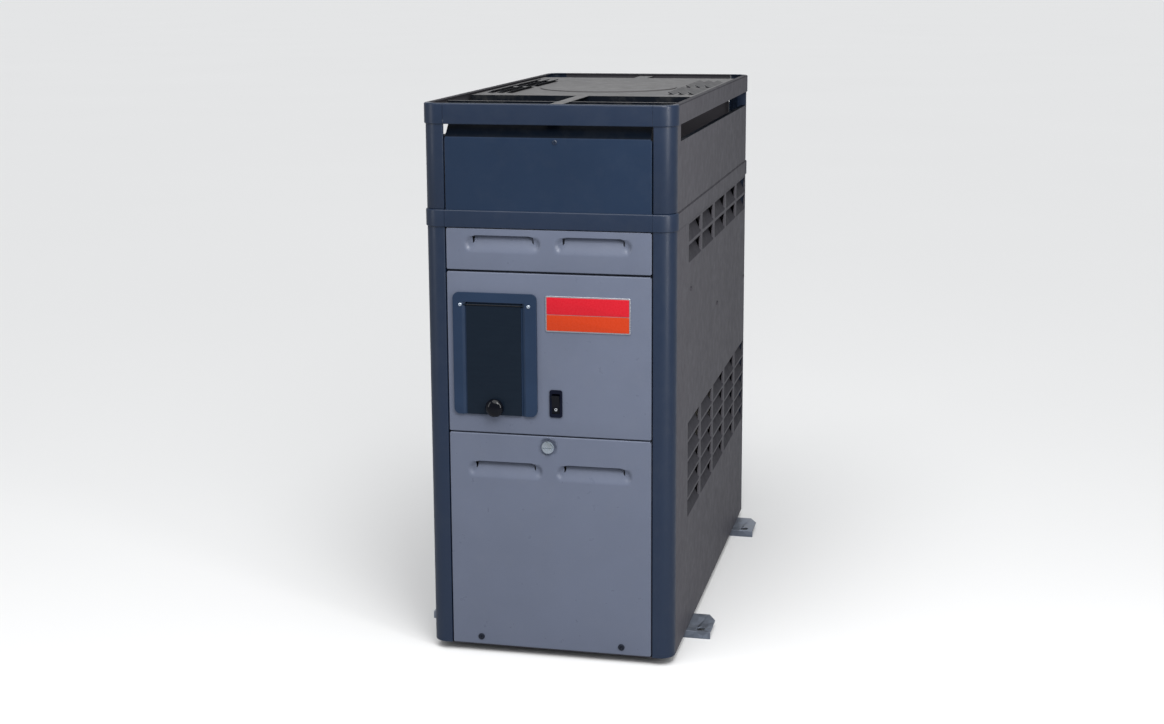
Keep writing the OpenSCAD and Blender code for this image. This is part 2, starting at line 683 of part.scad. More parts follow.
module pilot_burner() color("#b08d4c") on_rails() {
    box([17, -300, 152], [35, -298, 172]);
    box([20, -308, 152], [32, -299, 157]);
    translate([26, -304, 156]) cylinder(r = 3.5, h = 14);
    translate([26, -304, 120]) cylinder(r = 2, h = 34);
}

// ---------- Combustion chamber and heat exchanger ----------

module refractory_boards() color("#c9c2b4") on_rails() {
    gap = 0.3;
    for (s = [0, 1]) mirror([s, 0, 0])
        box([chamber[0] - board, chamber[1], chamber[3]], [chamber[0], chamber[2], chamber[4]]);
    for (y = [chamber[1], chamber[2] - board])
        box([board + gap - chamber[0], y, chamber[3]], [chamber[0] - board - gap, y + board, chamber[4]]);
}

tube_xs = [for (i = [0:tubes - 1]) (i - (tubes - 1) / 2) * tube_pitch];

// Half section of a finned tube: a comb of fins on a plain tube
module fin_profile() {
    run = hx_rear - hx_front;
    plain = 25;
    step = (run - 2 * plain) / fins;
    square([tube_r, run]);
    for (i = [0:fins - 1]) translate([0, plain + i * step]) square([fin_r, step / 2]);
}

module heat_exchanger_tubes() color("#b5713f") on_rails() for (x = tube_xs)
    translate([x, hx_front, port_z]) rotate([-90, 0, 0]) difference() {
        rotate_extrude($fn = 24) fin_profile();
        translate([0, 0, -eps]) cylinder(r = tube_r - 1.5, h = hx_rear - hx_front + 2 * eps, $fn = 24);
    }

module header(y0, y1)
    box([-header_half, y0, port_z - header_h / 2], [header_half, y1, port_z + header_h / 2]);

module return_header() color("#5a5048") on_rails() {
    header(hx_front - 30, hx_front);
    for (x = tube_xs) rod_y(x, hx_front - 34, port_z, 9, 5);
}

module inlet_outlet_header() color("#5a5048") on_rails() difference() {
    union() {
        header(hx_rear, port_front);
        for (s = [-1, 1]) rod_y(s * port_x, port_front - eps, port_z, port_r, port_end - port_front + eps);
    }
    for (s = [-1, 1]) rod_y(s * port_x, hx_rear + 12, port_z, 25, port_end - hx_rear);
}

module flue_collector() color("#8b9096") on_rails() {
    top = 640;
    hood = [148, -280, 295];
    outlet_r = 90;
    difference() {
        union() {
            box([-hood[0], hood[1], port_z + header_h / 2], [hood[0], hood[2], top]);
            translate([0, disc_y, top - eps]) cylinder(r = outlet_r, h = 61);
        }
        box([sheet - hood[0], hood[1] + sheet, port_z], [hood[0] - sheet, hood[2] - sheet, top - sheet]);
        translate([0, disc_y, top - 3]) cylinder(r = outlet_r - sheet, h = 80);
    }
}

// ---------- Water connections ----------

module tailpiece(x) difference() {
    union() {
        rod_y(x, port_end, port_z, port_r, 8);
        rod_y(x, port_end, port_z, port_r - 4, half_d + socket_reach - port_end);
    }
    rod_y(x, port_end - eps, port_z, 25, 100);
    rod_y(x, half_d + socket_reach - 34, port_z, socket_r, 34 + eps);
}
module water_tailpieces() color("#c8ccce") on_rails() for (s = [-1, 1]) tailpiece(s * port_x);

// Union nut with grip ribs, turning freely on the header's threaded port
module union_nut(x) difference() {
    union() {
        rod_y(x, nut_y[0], port_z, nut_r, nut_y[1] - nut_y[0]);
        for (i = [0:7]) translate([x, nut_y[0], port_z]) rotate([0, 45 * i, 0])
            translate([nut_r - 4, 0, -5]) cube([8, nut_y[1] - nut_y[0], 10]);
    }
    rod_y(x, nut_y[0] - eps, port_z, port_r + 0.4, port_end + 8.4 - nut_y[0] + eps);
    rod_y(x, nut_y[0], port_z, port_r - 4 + 0.4, 60);
}
module inlet_union_nut() color("#33373c") on_rails() union_nut(port_x);
module outlet_union_nut() color("#33373c") on_rails() union_nut(-port_x);

base_rail_front();
base_rail_rear();
base_pan();
front_left_post();
front_right_post();
rear_left_post();
rear_right_post();
collar_corner_caps();
collar_front_bar();
collar_rear_bar();
collar_side_bars();
upper_posts();
top_corner_caps();
top_front_bar();
top_rear_bar();
top_side_bars();
top_grille();
flue_cover_disc();
upper_front_panel();
upper_rear_panel();
upper_left_panel();
upper_right_panel();
left_side_panel();
right_side_panel();
rear_panel();
front_top_panel();
control_panel();
access_door();
control_bezel();
control_flap();
flap_knob();
display_module();
display_lens();
mode_button();
up_button();
down_button();
badge_plate();
rocker_housing();
rocker_paddle();
latch_screw();
door_screws();
panel_screws();
control_bracket();
ignition_module();
transformer();
burner_tray();
burners();
gas_manifold();
gas_valve();
gas_valve_knob();
gas_inlet_nipple();
pilot_burner();
refractory_boards();
heat_exchanger_tubes();
return_header();
inlet_outlet_header();
flue_collector();
water_tailpieces();
inlet_union_nut();
outlet_union_nut();
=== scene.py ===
"""Gas pool heater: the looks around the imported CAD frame. Metres, in the CAD's own frame."""

import json
import math

import bmesh
import bpy
from mathutils import Matrix, Vector


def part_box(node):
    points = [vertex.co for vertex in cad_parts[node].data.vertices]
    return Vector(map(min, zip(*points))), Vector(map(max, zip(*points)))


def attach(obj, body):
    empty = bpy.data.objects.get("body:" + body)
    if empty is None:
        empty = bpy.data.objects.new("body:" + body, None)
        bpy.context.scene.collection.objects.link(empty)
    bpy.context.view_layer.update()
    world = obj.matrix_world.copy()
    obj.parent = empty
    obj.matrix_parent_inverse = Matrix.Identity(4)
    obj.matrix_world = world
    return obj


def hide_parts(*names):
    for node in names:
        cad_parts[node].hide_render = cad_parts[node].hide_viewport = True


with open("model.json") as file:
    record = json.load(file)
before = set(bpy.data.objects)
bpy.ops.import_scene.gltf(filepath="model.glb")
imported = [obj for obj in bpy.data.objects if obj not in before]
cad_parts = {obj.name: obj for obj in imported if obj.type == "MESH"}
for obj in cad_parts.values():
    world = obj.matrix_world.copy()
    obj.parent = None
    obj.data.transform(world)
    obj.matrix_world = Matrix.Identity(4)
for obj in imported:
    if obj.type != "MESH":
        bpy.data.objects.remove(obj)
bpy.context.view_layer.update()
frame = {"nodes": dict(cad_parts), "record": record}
MM = 0.001

# ---------- Places read from the CAD ----------

caps_lo, caps_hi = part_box("top_corner_caps")
HALF_W, FRONT, REAR, TOP = caps_hi.x, caps_lo.y, caps_hi.y, caps_hi.z
RING_Z = caps_lo.z
MID_Y = (FRONT + REAR) / 2
post_lo, post_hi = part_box("front_right_post")
PANEL_X, PANEL_FRONT, POST_Z, COLLAR_Z = post_hi.x, post_lo.y, post_lo.z, post_hi.z
PANEL_REAR = 2 * MID_Y - PANEL_FRONT
PROUD = HALF_W - PANEL_X
COLLAR_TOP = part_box("collar_corner_caps")[1].z
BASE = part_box("base_rail_front")[1].z

# Sizes that a bounding box doesn't show, as in the CAD source
SHEET = 1.2 * MM
FRAME_SHEET = 1.5 * MM
CORNER_R = 22 * MM
CAP_LEG_X, CAP_LEG_Y = 33.5 * MM, 26 * MM
POST_LEG_X, POST_LEG_Y, POST_RETURN = 32 * MM, 24.5 * MM, 16 * MM
UPPER_RETURN, LIP_CUT = 4 * MM, 20 * MM
RING_LIP, RING_FOOT = 8 * MM, 9 * MM
FLANGE = 14 * MM
LOUVRE_L, LOUVRE_TALL = 113 * MM, 28
LOUVRE_STARTS = [-270 + 132 * i for i in range(5)]
LOUVRE_FEET = (618, 586, 308, 277, 246, 215, 184)
LOUVRES = [(start * MM, BASE + (foot + LOUVRE_TALL) * MM) for start in LOUVRE_STARTS for foot in LOUVRE_FEET]
PULL_X, PULL_L = 22 * MM, 93 * MM
PULL_TOPS = {"front_top_panel": BASE + 640 * MM, "access_door": BASE + 295 * MM}
SIDE_SCREWS = [(-249, 544), (27, 471), (364, 460)]
REAR_SCREWS = [(x, z) for x in (-146, 146) for z in (20, 325, 630, 700)]
FRONT_SCREWS = [(12, 779)]
HINGE_Z = 535.5
BEZEL_SCREWS = [(-134, HINGE_Z), (-29, HINGE_Z)]
DOOR_SCREWS = [(-110, 14.3), (110, 14.3)]
LATCH = Vector((-2, 321.3)) * MM + Vector((0, BASE))

# The dish round the latch, which only the visual model has
DIMPLE_DEEP, DIMPLE_R, DIMPLE_WALL = 4 * MM, 15.5 * MM, 5 * MM
DIMPLE_RINGS = [r * MM for r in (9, 10.5, 11.75, 13, 14.25, 15.5, 16.5)]

# Grid lines nearer than NEAR are merged; places nearer than EPS are the same
NEAR, EPS = 0.25 * MM, 1e-6

# ---------- Camera ----------

PHOTO_W, SENSOR = 1164, 36


def make_camera():
    """The view that best fits the cabinet's straight edges."""
    focal_px, yaw, pitch, roll = 1758.4, 0.2230, 0.1855, -0.0052
    data = bpy.data.cameras.new("camera")
    data.sensor_width = SENSOR
    data.lens = focal_px * SENSOR / PHOTO_W
    data.shift_y = -0.05
    forward = Vector((-math.sin(yaw) * math.cos(pitch), math.cos(yaw) * math.cos(pitch), -math.sin(pitch)))
    side = Vector((math.cos(yaw), math.sin(yaw), 0))
    up = side.cross(forward)
    right = math.cos(roll) * side + math.sin(roll) * up
    up = math.cos(roll) * up - math.sin(roll) * side
    camera = bpy.data.objects.new("camera", data)
    bpy.context.scene.collection.objects.link(camera)
    place = Vector((0.6131, -2.8748 + MID_Y, 1.0189 + BASE))
    camera.matrix_world = Matrix.Translation(place) @ Matrix((right, up, -forward)).transposed().to_4x4()
    bpy.context.scene.camera = camera


make_camera()

# ---------- Materials ----------


def linear(srgb):
    """Linear colour, with alpha, of an 8-bit sRGB colour."""
    return tuple((c / 255 / 12.92) if c <= 10 else ((c / 255 + 0.055) / 1.055) ** 2.4 for c in srgb) + (1.0,)


class Nodes:
    """A material's node tree, with short calls for the nodes used here."""

    def __init__(self, name):
        self.material = bpy.data.materials.new(name)
        self.material.use_nodes = True
        self.tree = self.material.node_tree
        self.shader = self.tree.nodes["Principled BSDF"]
        self.place = self.add("ShaderNodeTexCoord").outputs["Object"]

    def add(self, kind, **values):
        node = self.tree.nodes.new(kind)
        for key, value in values.items():
            setattr(node, key, value)
        return node

    def link(self, a, b):
        self.tree.links.new(a, b)

    def set(self, **values):
        for key, value in values.items():
            self.shader.inputs[key.replace("_", " ")].default_value = value

    def noise(self, scale, detail=2.0, roughness=0.5, place=None):
        node = self.add("ShaderNodeTexNoise")
        node.inputs["Scale"].default_value = scale
        node.inputs["Detail"].default_value = detail
        node.inputs["Roughness"].default_value = roughness
        self.link(place or self.place, node.inputs["Vector"])
        return node.outputs["Fac"]

    def cells(self, scale, output="Distance"):
        node = self.add("ShaderNodeTexVoronoi")
        node.inputs["Scale"].default_value = scale
        self.link(self.place, node.inputs["Vector"])
        return node.outputs[output]

    def stretched(self, scale):
        node = self.add("ShaderNodeMapping")
        node.inputs["Scale"].default_value = scale
        self.link(self.place, node.inputs["Vector"])
        return node.outputs["Vector"]

    def spread(self, value, low, high, start=0.3, stop=0.7):
        node = self.add("ShaderNodeMapRange")
        for key, number in (("From Min", start), ("From Max", stop), ("To Min", low), ("To Max", high)):
            node.inputs[key].default_value = number
        self.link(value, node.inputs["Value"])
        return node.outputs["Result"]

    def mix(self, amount, a, b):
        node = self.add("ShaderNodeMix", data_type="RGBA")
        for key, value in ((0, amount), (6, a), (7, b)):
            if hasattr(value, "node"):
                self.link(value, node.inputs[key])
            else:
                node.inputs[key].default_value = value
        return node.outputs[2]

    def times(self, a, b):
        node = self.add("ShaderNodeMath", operation="MULTIPLY")
        for key, value in ((0, a), (1, b)):
            if hasattr(value, "node"):
                self.link(value, node.inputs[key])
            else:
                node.inputs[key].default_value = value
        return node.outputs[0]

    def bump(self, *layers):
        """Bump from (height, strength, distance) layers, laid over each other."""
        normal = None
        for height, strength, distance in layers:
            node = self.add("ShaderNodeBump")
            node.inputs["Strength"].default_value = strength
            node.inputs["Distance"].default_value = distance
            self.link(height, node.inputs["Height"])
            if normal:
                self.link(normal, node.inputs["Normal"])
            normal = node.outputs["Normal"]
        self.link(normal, self.shader.inputs["Normal"])

    def worn_edges(self, radius, amount):
        """1 on convex and concave edges, broken up by noise, 0 on flat faces."""
        bevel = self.add("ShaderNodeBevel", samples=4)
        bevel.inputs["Radius"].default_value = radius
        flat = self.add("ShaderNodeNewGeometry").outputs["Normal"]
        dot = self.add("ShaderNodeVectorMath", operation="DOT_PRODUCT")
        self.link(bevel.outputs["Normal"], dot.inputs[0])
        self.link(flat, dot.inputs[1])
        edge = self.spread(dot.outputs["Value"], amount, 0.0, 0.80, 0.985)
        return self.times(edge, self.spread(self.noise(160, 3), 0.0, 1.0, 0.45, 0.62))


def shade(colour, factor):
    return tuple(min(1.0, c * factor) for c in colour[:3]) + (1.0,)


def coat_colour(n, base, dust, grain):
    """Colour of a paint film: faint mottling, fine specks and a little dust."""
    mottle = n.spread(n.noise(7, 4, 0.6), 0.0, 1.0)
    colour = n.mix(mottle, shade(base, 0.95), shade(base, 1.05))
    speck = n.spread(n.noise(1500, 1), 0.0, 1.0, 0.62, 0.72)
    colour = n.mix(n.times(speck, 0.25 * grain), colour, shade(base, 1.35))
    dusty = n.times(n.spread(n.noise(30, 6, 0.7), 0.0, 1.0, 0.5, 0.75), dust)
    colour = n.mix(dusty, colour, linear((150, 148, 142)))
    return n.mix(n.worn_edges(0.9 * MM, 0.22), colour, shade(base, 1.9))


def powder_coat(name, srgb, rough=0.42, dust=0.03, gloss=0.25, waves=0.0, grain=1.0, steep_shade=None,
                raised=None, tilts=(0.3, 0.5)):
    """Baked powder coat on sheet steel: fine orange peel, worn edges, and soft waves in the sheet.

    Faces that aren't level, or that tilt up, may take a darker colour, which is painted shade; those that
    tilt up are matt.
    """
    n = Nodes(name)
    n.set(Specular_IOR_Level=gloss)
    colour = coat_colour(n, linear(srgb), dust, grain)
    # Painted shade: a darker colour on steep faces, or on faces that tilt up.
    if steep_shade or raised:
        tilt = n.add("ShaderNodeSeparateXYZ")
        n.link(n.add("ShaderNodeNewGeometry").outputs["Normal"], tilt.inputs[0])
        up = n.spread(tilt.outputs["Z"], 0.0, 1.0, *tilts)
        painted_shade = coat_colour(n, linear(steep_shade or raised), dust, grain)
        colour = n.mix(up, painted_shade, colour) if steep_shade else n.mix(up, colour, painted_shade)
        if raised:
            n.link(n.spread(up, gloss, 0.03, 0.0, 1.0), n.shader.inputs["Specular IOR Level"])
    n.link(colour, n.shader.inputs["Base Color"])
    n.link(n.spread(n.noise(55, 5, 0.65), rough - 0.06, rough + 0.08), n.shader.inputs["Roughness"])
    peel = [(n.noise(420, 2), 0.08 * grain, 0.2 * MM), (n.noise(1900, 2), 0.10 * grain, 0.08 * MM)]
    if waves:
        peel.insert(0, (n.noise(1.0, 2, 0.4, n.stretched((7, 7, 0.6))), waves, 6 * MM))
    n.bump(*peel)
    return n.material


def galvanised(name, srgb):
    """Hot-dipped zinc: flat crystals of slightly different brightness and gloss, dull streaks."""
    n = Nodes(name)
    base = linear(srgb)
    crystal = n.cells(85, "Color")
    bright = n.add("ShaderNodeRGBToBW")
    n.link(crystal, bright.inputs[0])
    colour = n.mix(bright.outputs[0], shade(base, 0.72), shade(base, 1.22))
    white_rust = n.times(n.spread(n.noise(40, 6, 0.7), 0.0, 1.0, 0.55, 0.75), 0.35)
    colour = n.mix(white_rust, colour, linear((190, 192, 196)))
    n.link(colour, n.shader.inputs["Base Color"])
    n.link(n.spread(bright.outputs[0], 0.32, 0.55, 0.0, 1.0), n.shader.inputs["Roughness"])
    n.bump((n.cells(85, "Distance"), 0.08, 0.2 * MM), (n.noise(900, 3), 0.10, 0.1 * MM))
    n.set(Metallic=0.75)
    return n.material


def metal(name, srgb, rough=0.3, metallic=1.0, brushed=None, tarnish=None):
    """Bare metal, brushed along an axis where brushed gives the stretch of the scratches."""
    n = Nodes(name)
    base = linear(srgb)
    mark = n.noise(1.0, 3, 0.6, n.stretched(brushed or (700, 700, 700)))
    colour = n.mix(mark, shade(base, 0.85), shade(base, 1.12))
    if tarnish:
        colour = n.mix(n.spread(n.noise(24, 5, 0.7), 0.0, 0.8, 0.45, 0.7), colour, linear(tarnish))
    n.link(colour, n.shader.inputs["Base Color"])
    n.link(n.spread(mark, rough - 0.08, rough + 0.12), n.shader.inputs["Roughness"])
    n.bump((mark, 0.12, 0.06 * MM), (n.noise(260, 3), 0.06, 0.15 * MM))
    n.set(Metallic=metallic)
    return n.material


def moulded(name, srgb, rough=0.45, grain=1.0, coat=0.0, level=0.3):
    """Injection-moulded plastic with a fine spark-eroded grain."""
    n = Nodes(name)
    base = linear(srgb)
    colour = n.mix(n.spread(n.noise(22, 4), 0.0, 1.0), shade(base, 0.93), shade(base, 1.07))
    n.link(colour, n.shader.inputs["Base Color"])
    n.link(n.spread(n.noise(120, 4), rough - 0.05, rough + 0.07), n.shader.inputs["Roughness"])
    n.bump((n.cells(2200), 0.10 * grain, 0.06 * MM), (n.noise(90, 3), 0.04 * grain, 0.3 * MM))
    n.set(Coat_Weight=coat, Coat_Roughness=0.06, Specular_IOR_Level=level)
    return n.material


def tinted(name):
    """Smoke-tinted polished plastic, nearly opaque, with faint wipe marks."""
    n = Nodes(name)
    wipe = n.noise(1.0, 5, 0.7, n.stretched((30, 30, 200)))
    n.link(n.mix(wipe, linear((21, 30, 41)), linear((27, 36, 47))), n.shader.inputs["Base Color"])
    n.link(n.spread(wipe, 0.07, 0.2), n.shader.inputs["Roughness"])
    n.bump((n.noise(14, 2), 0.03, 0.6 * MM))
    n.set(Specular_IOR_Level=0.1)
    return n.material


def ceramic_fibre(name, srgb):
    n = Nodes(name)
    base = linear(srgb)
    colour = n.mix(n.noise(60, 6, 0.75), shade(base, 0.75), shade(base, 1.12))
    n.link(colour, n.shader.inputs["Base Color"])
    n.bump((n.noise(1.0, 5, 0.8, n.stretched((180, 180, 500))), 0.5, 1.0 * MM),
           (n.noise(900, 3), 0.3, 0.3 * MM))
    n.set(Roughness=0.95)
    return n.material


def casting(name, srgb, rough=0.6):
    """Sand casting: lumpy skin with fine pits."""
    n = Nodes(name)
    base = linear(srgb)
    colour = n.mix(n.noise(80, 5, 0.7), shade(base, 0.8), shade(base, 1.15))
    n.link(colour, n.shader.inputs["Base Color"])
    n.link(n.spread(n.noise(200, 4), rough - 0.1, rough + 0.1), n.shader.inputs["Roughness"])
    n.bump((n.noise(420, 5, 0.7), 0.4, 0.4 * MM), (n.cells(300), 0.15, 0.4 * MM))
    n.set(Metallic=0.4)
    return n.material


def enamel(name, srgb):
    n = Nodes(name)
    base = linear(srgb)
    n.link(n.mix(n.noise(18, 3), shade(base, 0.93), shade(base, 1.07)), n.shader.inputs["Base Color"])
    n.link(n.spread(n.noise(300, 3), 0.22, 0.34), n.shader.inputs["Roughness"])
    n.bump((n.noise(500, 2), 0.05, 0.1 * MM))
    n.set(Specular_IOR_Level=0.2, Coat_Weight=0.1, Coat_Roughness=0.08)
    return n.material


def display(name):
    """Liquid-crystal glass: grey-green with a faint pixel grid."""
    n = Nodes(name)
    grid = n.add("ShaderNodeTexChecker")
    grid.inputs["Scale"].default_value = 900
    n.link(n.place, grid.inputs["Vector"])
    n.link(n.mix(n.times(grid.outputs["Fac"], 0.2), linear((96, 110, 92)), linear((70, 82, 70))),
           n.shader.inputs["Base Color"])
    n.link(n.spread(n.noise(40, 3), 0.06, 0.14), n.shader.inputs["Roughness"])
    n.set(Coat_Weight=0.6, Coat_Roughness=0.03)
    return n.material


# The darker navy here is painted shade, not a paint: it darkens the upper front lip in the ring's shadow, the
# upper side panels' faces that tilt up and the top grille's steep faces.
NAVY, PAINTED_SHADE_NAVY = (33, 48, 70), (11, 17, 26)
# The darkest of these greys is painted shade, not a paint: it darkens the side panels' faces that tilt up,
# chiefly the louvre tongues in the shadow of the sheet's cut edge.
SIDE_GREY, PAINTED_SHADE_GREY, TOP_GREY = (84, 82, 87), (58, 57, 62), (100, 99, 100)
LOOKS = {
    # The looks with a darker colour for tilted faces carry painted shade on those faces.
    "navy_paint": powder_coat("navy_paint", (28, 42, 64), 0.38, dust=0.015, gloss=0.46, grain=0.4),
    "upper_navy_paint_and_shade": powder_coat("upper_navy_paint_and_shade", NAVY, 0.34, dust=0.015, gloss=0.22, raised=PAINTED_SHADE_NAVY),
    "side_paint": powder_coat("side_paint", SIDE_GREY, 0.46, dust=0.01, gloss=0.15, waves=0.5, grain=0.15,
                              raised=PAINTED_SHADE_GREY, tilts=(0.08, 0.25)),
    "upper_side_paint_and_shade": powder_coat("upper_side_paint_and_shade", SIDE_GREY, 0.46, dust=0.01, gloss=0.15, waves=0.5,
                                    grain=0.15, raised=PAINTED_SHADE_NAVY),
    "top_paint": powder_coat("top_paint", TOP_GREY, 0.46, dust=0.12, gloss=0.15),
    "grille_paint_and_shade": powder_coat("grille_paint_and_shade", TOP_GREY, 0.46, dust=0.12, gloss=0.15, steep_shade=PAINTED_SHADE_NAVY,
                                tilts=(0.86, 0.99)),
    "front_paint": powder_coat("front_paint", (102, 109, 127), 0.32, gloss=0.45),
    "galvanised": galvanised("galvanised", (140, 148, 162)),
    "navy_plastic": moulded("navy_plastic", (34, 51, 75), 0.36),
    "tinted_plastic": tinted("tinted_plastic"),
    "black_gloss": moulded("black_gloss", (3, 5, 14), 0.10, grain=0.0, coat=0.25, level=0.15),
    "black_plastic": moulded("black_plastic", (10, 15, 32), 0.36, level=0.15),
    "display_glass": display("display_glass"),
    "button_rubber": moulded("button_rubber", (150, 154, 160), 0.6),
    "badge_enamel": enamel("badge_red", (200, 30, 44)),
    "badge_orange": enamel("badge_orange", (194, 60, 26)),
    "badge_silver": metal("badge_silver", (196, 198, 204), 0.28, 0.9, (60, 60, 2500)),
    "white_mark": enamel("white_mark", (206, 210, 214)),
    "zinc": metal("zinc", (204, 214, 226), 0.24, 0.92, tarnish=(164, 170, 168)),
    "dark_steel": metal("dark_steel", (30, 36, 50), 0.45, 0.5),
    "stainless": metal("stainless", (148, 146, 142), 0.35, 1.0, (900, 40, 900), (120, 96, 74)),
    "cast_alloy": casting("cast_alloy", (160, 164, 168), 0.5),
    "red_plastic": moulded("red_plastic", (170, 40, 30), 0.35),
    "brass": metal("brass", (186, 150, 84), 0.32, 1.0, tarnish=(120, 92, 52)),
    "refractory": ceramic_fibre("refractory", (206, 200, 186)),
    "copper": metal("copper", (186, 118, 84), 0.34, 1.0, tarnish=(110, 70, 52)),
    "cast_iron": casting("cast_iron", (78, 74, 72)),
    "pale_plastic": moulded("pale_plastic", (216, 217, 214), 0.4),
    "nut_plastic": moulded("nut_plastic", (40, 43, 48), 0.48),
}
NODE_LOOKS = {"upper_left_panel": "upper_side_paint_and_shade", "upper_right_panel": "upper_side_paint_and_shade",
              "top_grille": "grille_paint_and_shade"}
SLOT_OF = {row["node"]: row["material_slot"] for row in frame["record"]["subparts"]}


def paint(thing, look):
    thing.data.materials.clear()
    thing.data.materials.append(LOOKS[look])


# ---------- Mesh helpers ----------


def smooth(mesh, angle=32):
    mesh.polygons.foreach_set("use_smooth", [True] * len(mesh.polygons))
    mesh.set_sharp_from_angle(angle=math.radians(angle))


def mesh_from(bm, name):
    mesh = bpy.data.meshes.new(name)
    bm.to_mesh(mesh)
    bm.free()
    return mesh


def solid_mesh(bm, thickness, name):
    """The mesh of a skin, thickened to the back of its faces."""
    mesh = mesh_from(bm, name)
    skin = bpy.data.objects.new(name, mesh)
    bpy.context.scene.collection.objects.link(skin)
    thick = skin.modifiers.new("thickness", "SOLIDIFY")
    thick.thickness = thickness
    thick.offset = -1
    thick.use_rim = True
    depsgraph = bpy.context.evaluated_depsgraph_get()
    result = bpy.data.meshes.new_from_object(skin.evaluated_get(depsgraph))
    bpy.data.objects.remove(skin)
    bpy.data.meshes.remove(mesh)
    return result


def piece(name, parts, look, body, replaced=(), angle=32):
    """One object from (mesh, matrix) parts, in place in the row frame."""
    bm = bmesh.new()
    for mesh, matrix in parts:
        part = mesh.copy()
        part.transform(matrix)
        if matrix.determinant() < 0:
            part.flip_normals()
        bm.from_mesh(part)
        bpy.data.meshes.remove(part)
    mesh = mesh_from(bm, name)
    mesh.materials.clear()
    smooth(mesh, angle)
    made = bpy.data.objects.new(name, mesh)
    bpy.context.scene.collection.objects.link(made)
    paint(made, look)
    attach(made, body)
    if replaced:
        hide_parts(*replaced)
    return made


def turn(matrix_rows, place):
    return Matrix.Translation(place) @ Matrix(matrix_rows).to_4x4()


# Frames of the faces: x along the face, y into the cabinet, z up
ON_FRONT = turn(((1, 0, 0), (0, 1, 0), (0, 0, 1)), (0, PANEL_FRONT, 0))
ON_REAR = turn(((1, 0, 0), (0, -1, 0), (0, 0, 1)), (0, PANEL_REAR, 0))
ON_RIGHT = turn(((0, -1, 0), (1, 0, 0), (0, 0, 1)), (PANEL_X, MID_Y, 0))
ON_LEFT = turn(((0, 1, 0), (1, 0, 0), (0, 0, 1)), (-PANEL_X, MID_Y, 0))

# Mirrors from the front right corner to all four
FROM_MIDDLE, TO_MIDDLE = Matrix.Translation((0, MID_Y, 0)), Matrix.Translation((0, -MID_Y, 0))
CORNERS = [FROM_MIDDLE @ Matrix.Diagonal((sx, sy, 1, 1)) @ TO_MIDDLE for sx in (1, -1) for sy in (1, -1)]
IDENTITY = Matrix.Identity(4)

# Stands what is drawn along +z out of a face
STAND = Matrix.Rotation(math.radians(90), 4, "X")


def bent_lines(stops):
    """Grid lines across a sheet as (position, setback), with a bend and a flange at both ends."""
    radius, steps, clear = 1.6 * MM, 4, 0.2 * MM

    def edge(end, sign):
        turns = [math.pi / 2 * k / steps for k in range(steps, -1, -1)]
        arc = [(end + sign * radius * (1 - math.sin(a)), radius * (1 - math.cos(a))) for a in turns]
        return [(end, FLANGE)] + arc

    low, high = edge(stops[0], 1), edge(stops[-1], -1)[::-1]
    inner = [(s, 0.0) for s in stops[1:-1] if low[-1][0] + clear < s < high[0][0] - clear]
    return low + inner + high


class Flat:
    """A plain sheet. Subclasses press shapes into it and cut it."""

    def depth(self, u, v, lowered):
        return 0.0

    def lowered(self, u, v):
        """True where a cell at (u, v) belongs to a pressed tongue."""
        return False

    def on_cut(self, u, v):
        """True where the sheet is cut from the tongue at a vertex."""
        return False

    def missing(self, u, v):
        return False

    def nudge(self, u, v, lowered):
        return 0.0, 0.0


def sheet(us, vs, press, name):
    """A pressed and folded sheet on a grid of lines; x along, y inwards, z up."""
    bm = bmesh.new()
    made = {}

    def vertex(i, j, low):
        (u, back_u), (v, back_v) = us[i], vs[j]
        split = low and press.on_cut(u, v)
        key = (i, j, split)
        if key not in made:
            du, dv = press.nudge(u, v, split)
            made[key] = bm.verts.new((u + du, back_u + back_v + press.depth(u, v, split), v + dv))
        return made[key]

    for i in range(len(us) - 1):
        for j in range(len(vs) - 1):
            folded_u = us[i][1] > 0 or us[i + 1][1] > 0
            folded_v = vs[j][1] > 0 or vs[j + 1][1] > 0
            u, v = (us[i][0] + us[i + 1][0]) / 2, (vs[j][0] + vs[j + 1][0]) / 2
            if (folded_u and folded_v) or press.missing(u, v):
                continue
            low = press.lowered(u, v)
            bm.faces.new([vertex(*k, low) for k in ((i, j), (i + 1, j), (i + 1, j + 1), (i, j + 1))])
    return solid_mesh(bm, SHEET, name)


def ease(t):
    t = min(1.0, max(0.0, t))
    return t * t * (3 - 2 * t)


def stops_of(*values):
    """Sorted positions, without ones that nearly repeat."""
    out = []
    for v in sorted(values):
        if not out or v - out[-1] > NEAR:
            out.append(v)
    return out


def screw_mesh(radius, height, name):
    """A domed screw head on z = 0, with a cross recess."""
    rings, sides = 9, 40
    bm = bmesh.new()
    grid = []
    for k in range(rings + 1):
        r = radius * math.sin(math.pi / 2 * k / rings) if k < rings else radius
        row = []
        for s in range(sides):
            a = 2 * math.pi * s / sides
            x, y = r * math.cos(a), r * math.sin(a)
            z = height * (1 - 0.55 * (r / radius) ** 2.4)
            arm, half = 0.58 * radius, 0.15 * radius
            inside = min(arm - max(abs(x), abs(y)), half - min(abs(x), abs(y)))
            z -= 0.55 * height * ease(inside / (0.09 * radius) + 0.5)
            row.append(bm.verts.new((x, y, z)))
            if k == 0:
                row = row * sides
                break
        grid.append(row)
    grid.append([bm.verts.new((v.co.x, v.co.y, 0)) for v in grid[-1]])
    for a, b in zip(grid, grid[1:]):
        for s in range(sides):
            t = (s + 1) % sides
            corners = [a[s], b[s], b[t], a[t]]
            bm.faces.new(corners if a[s] is not a[t] else corners[:3])
    bm.faces.new(grid[-1][::-1])
    bmesh.ops.recalc_face_normals(bm, faces=bm.faces)
    return mesh_from(bm, name)


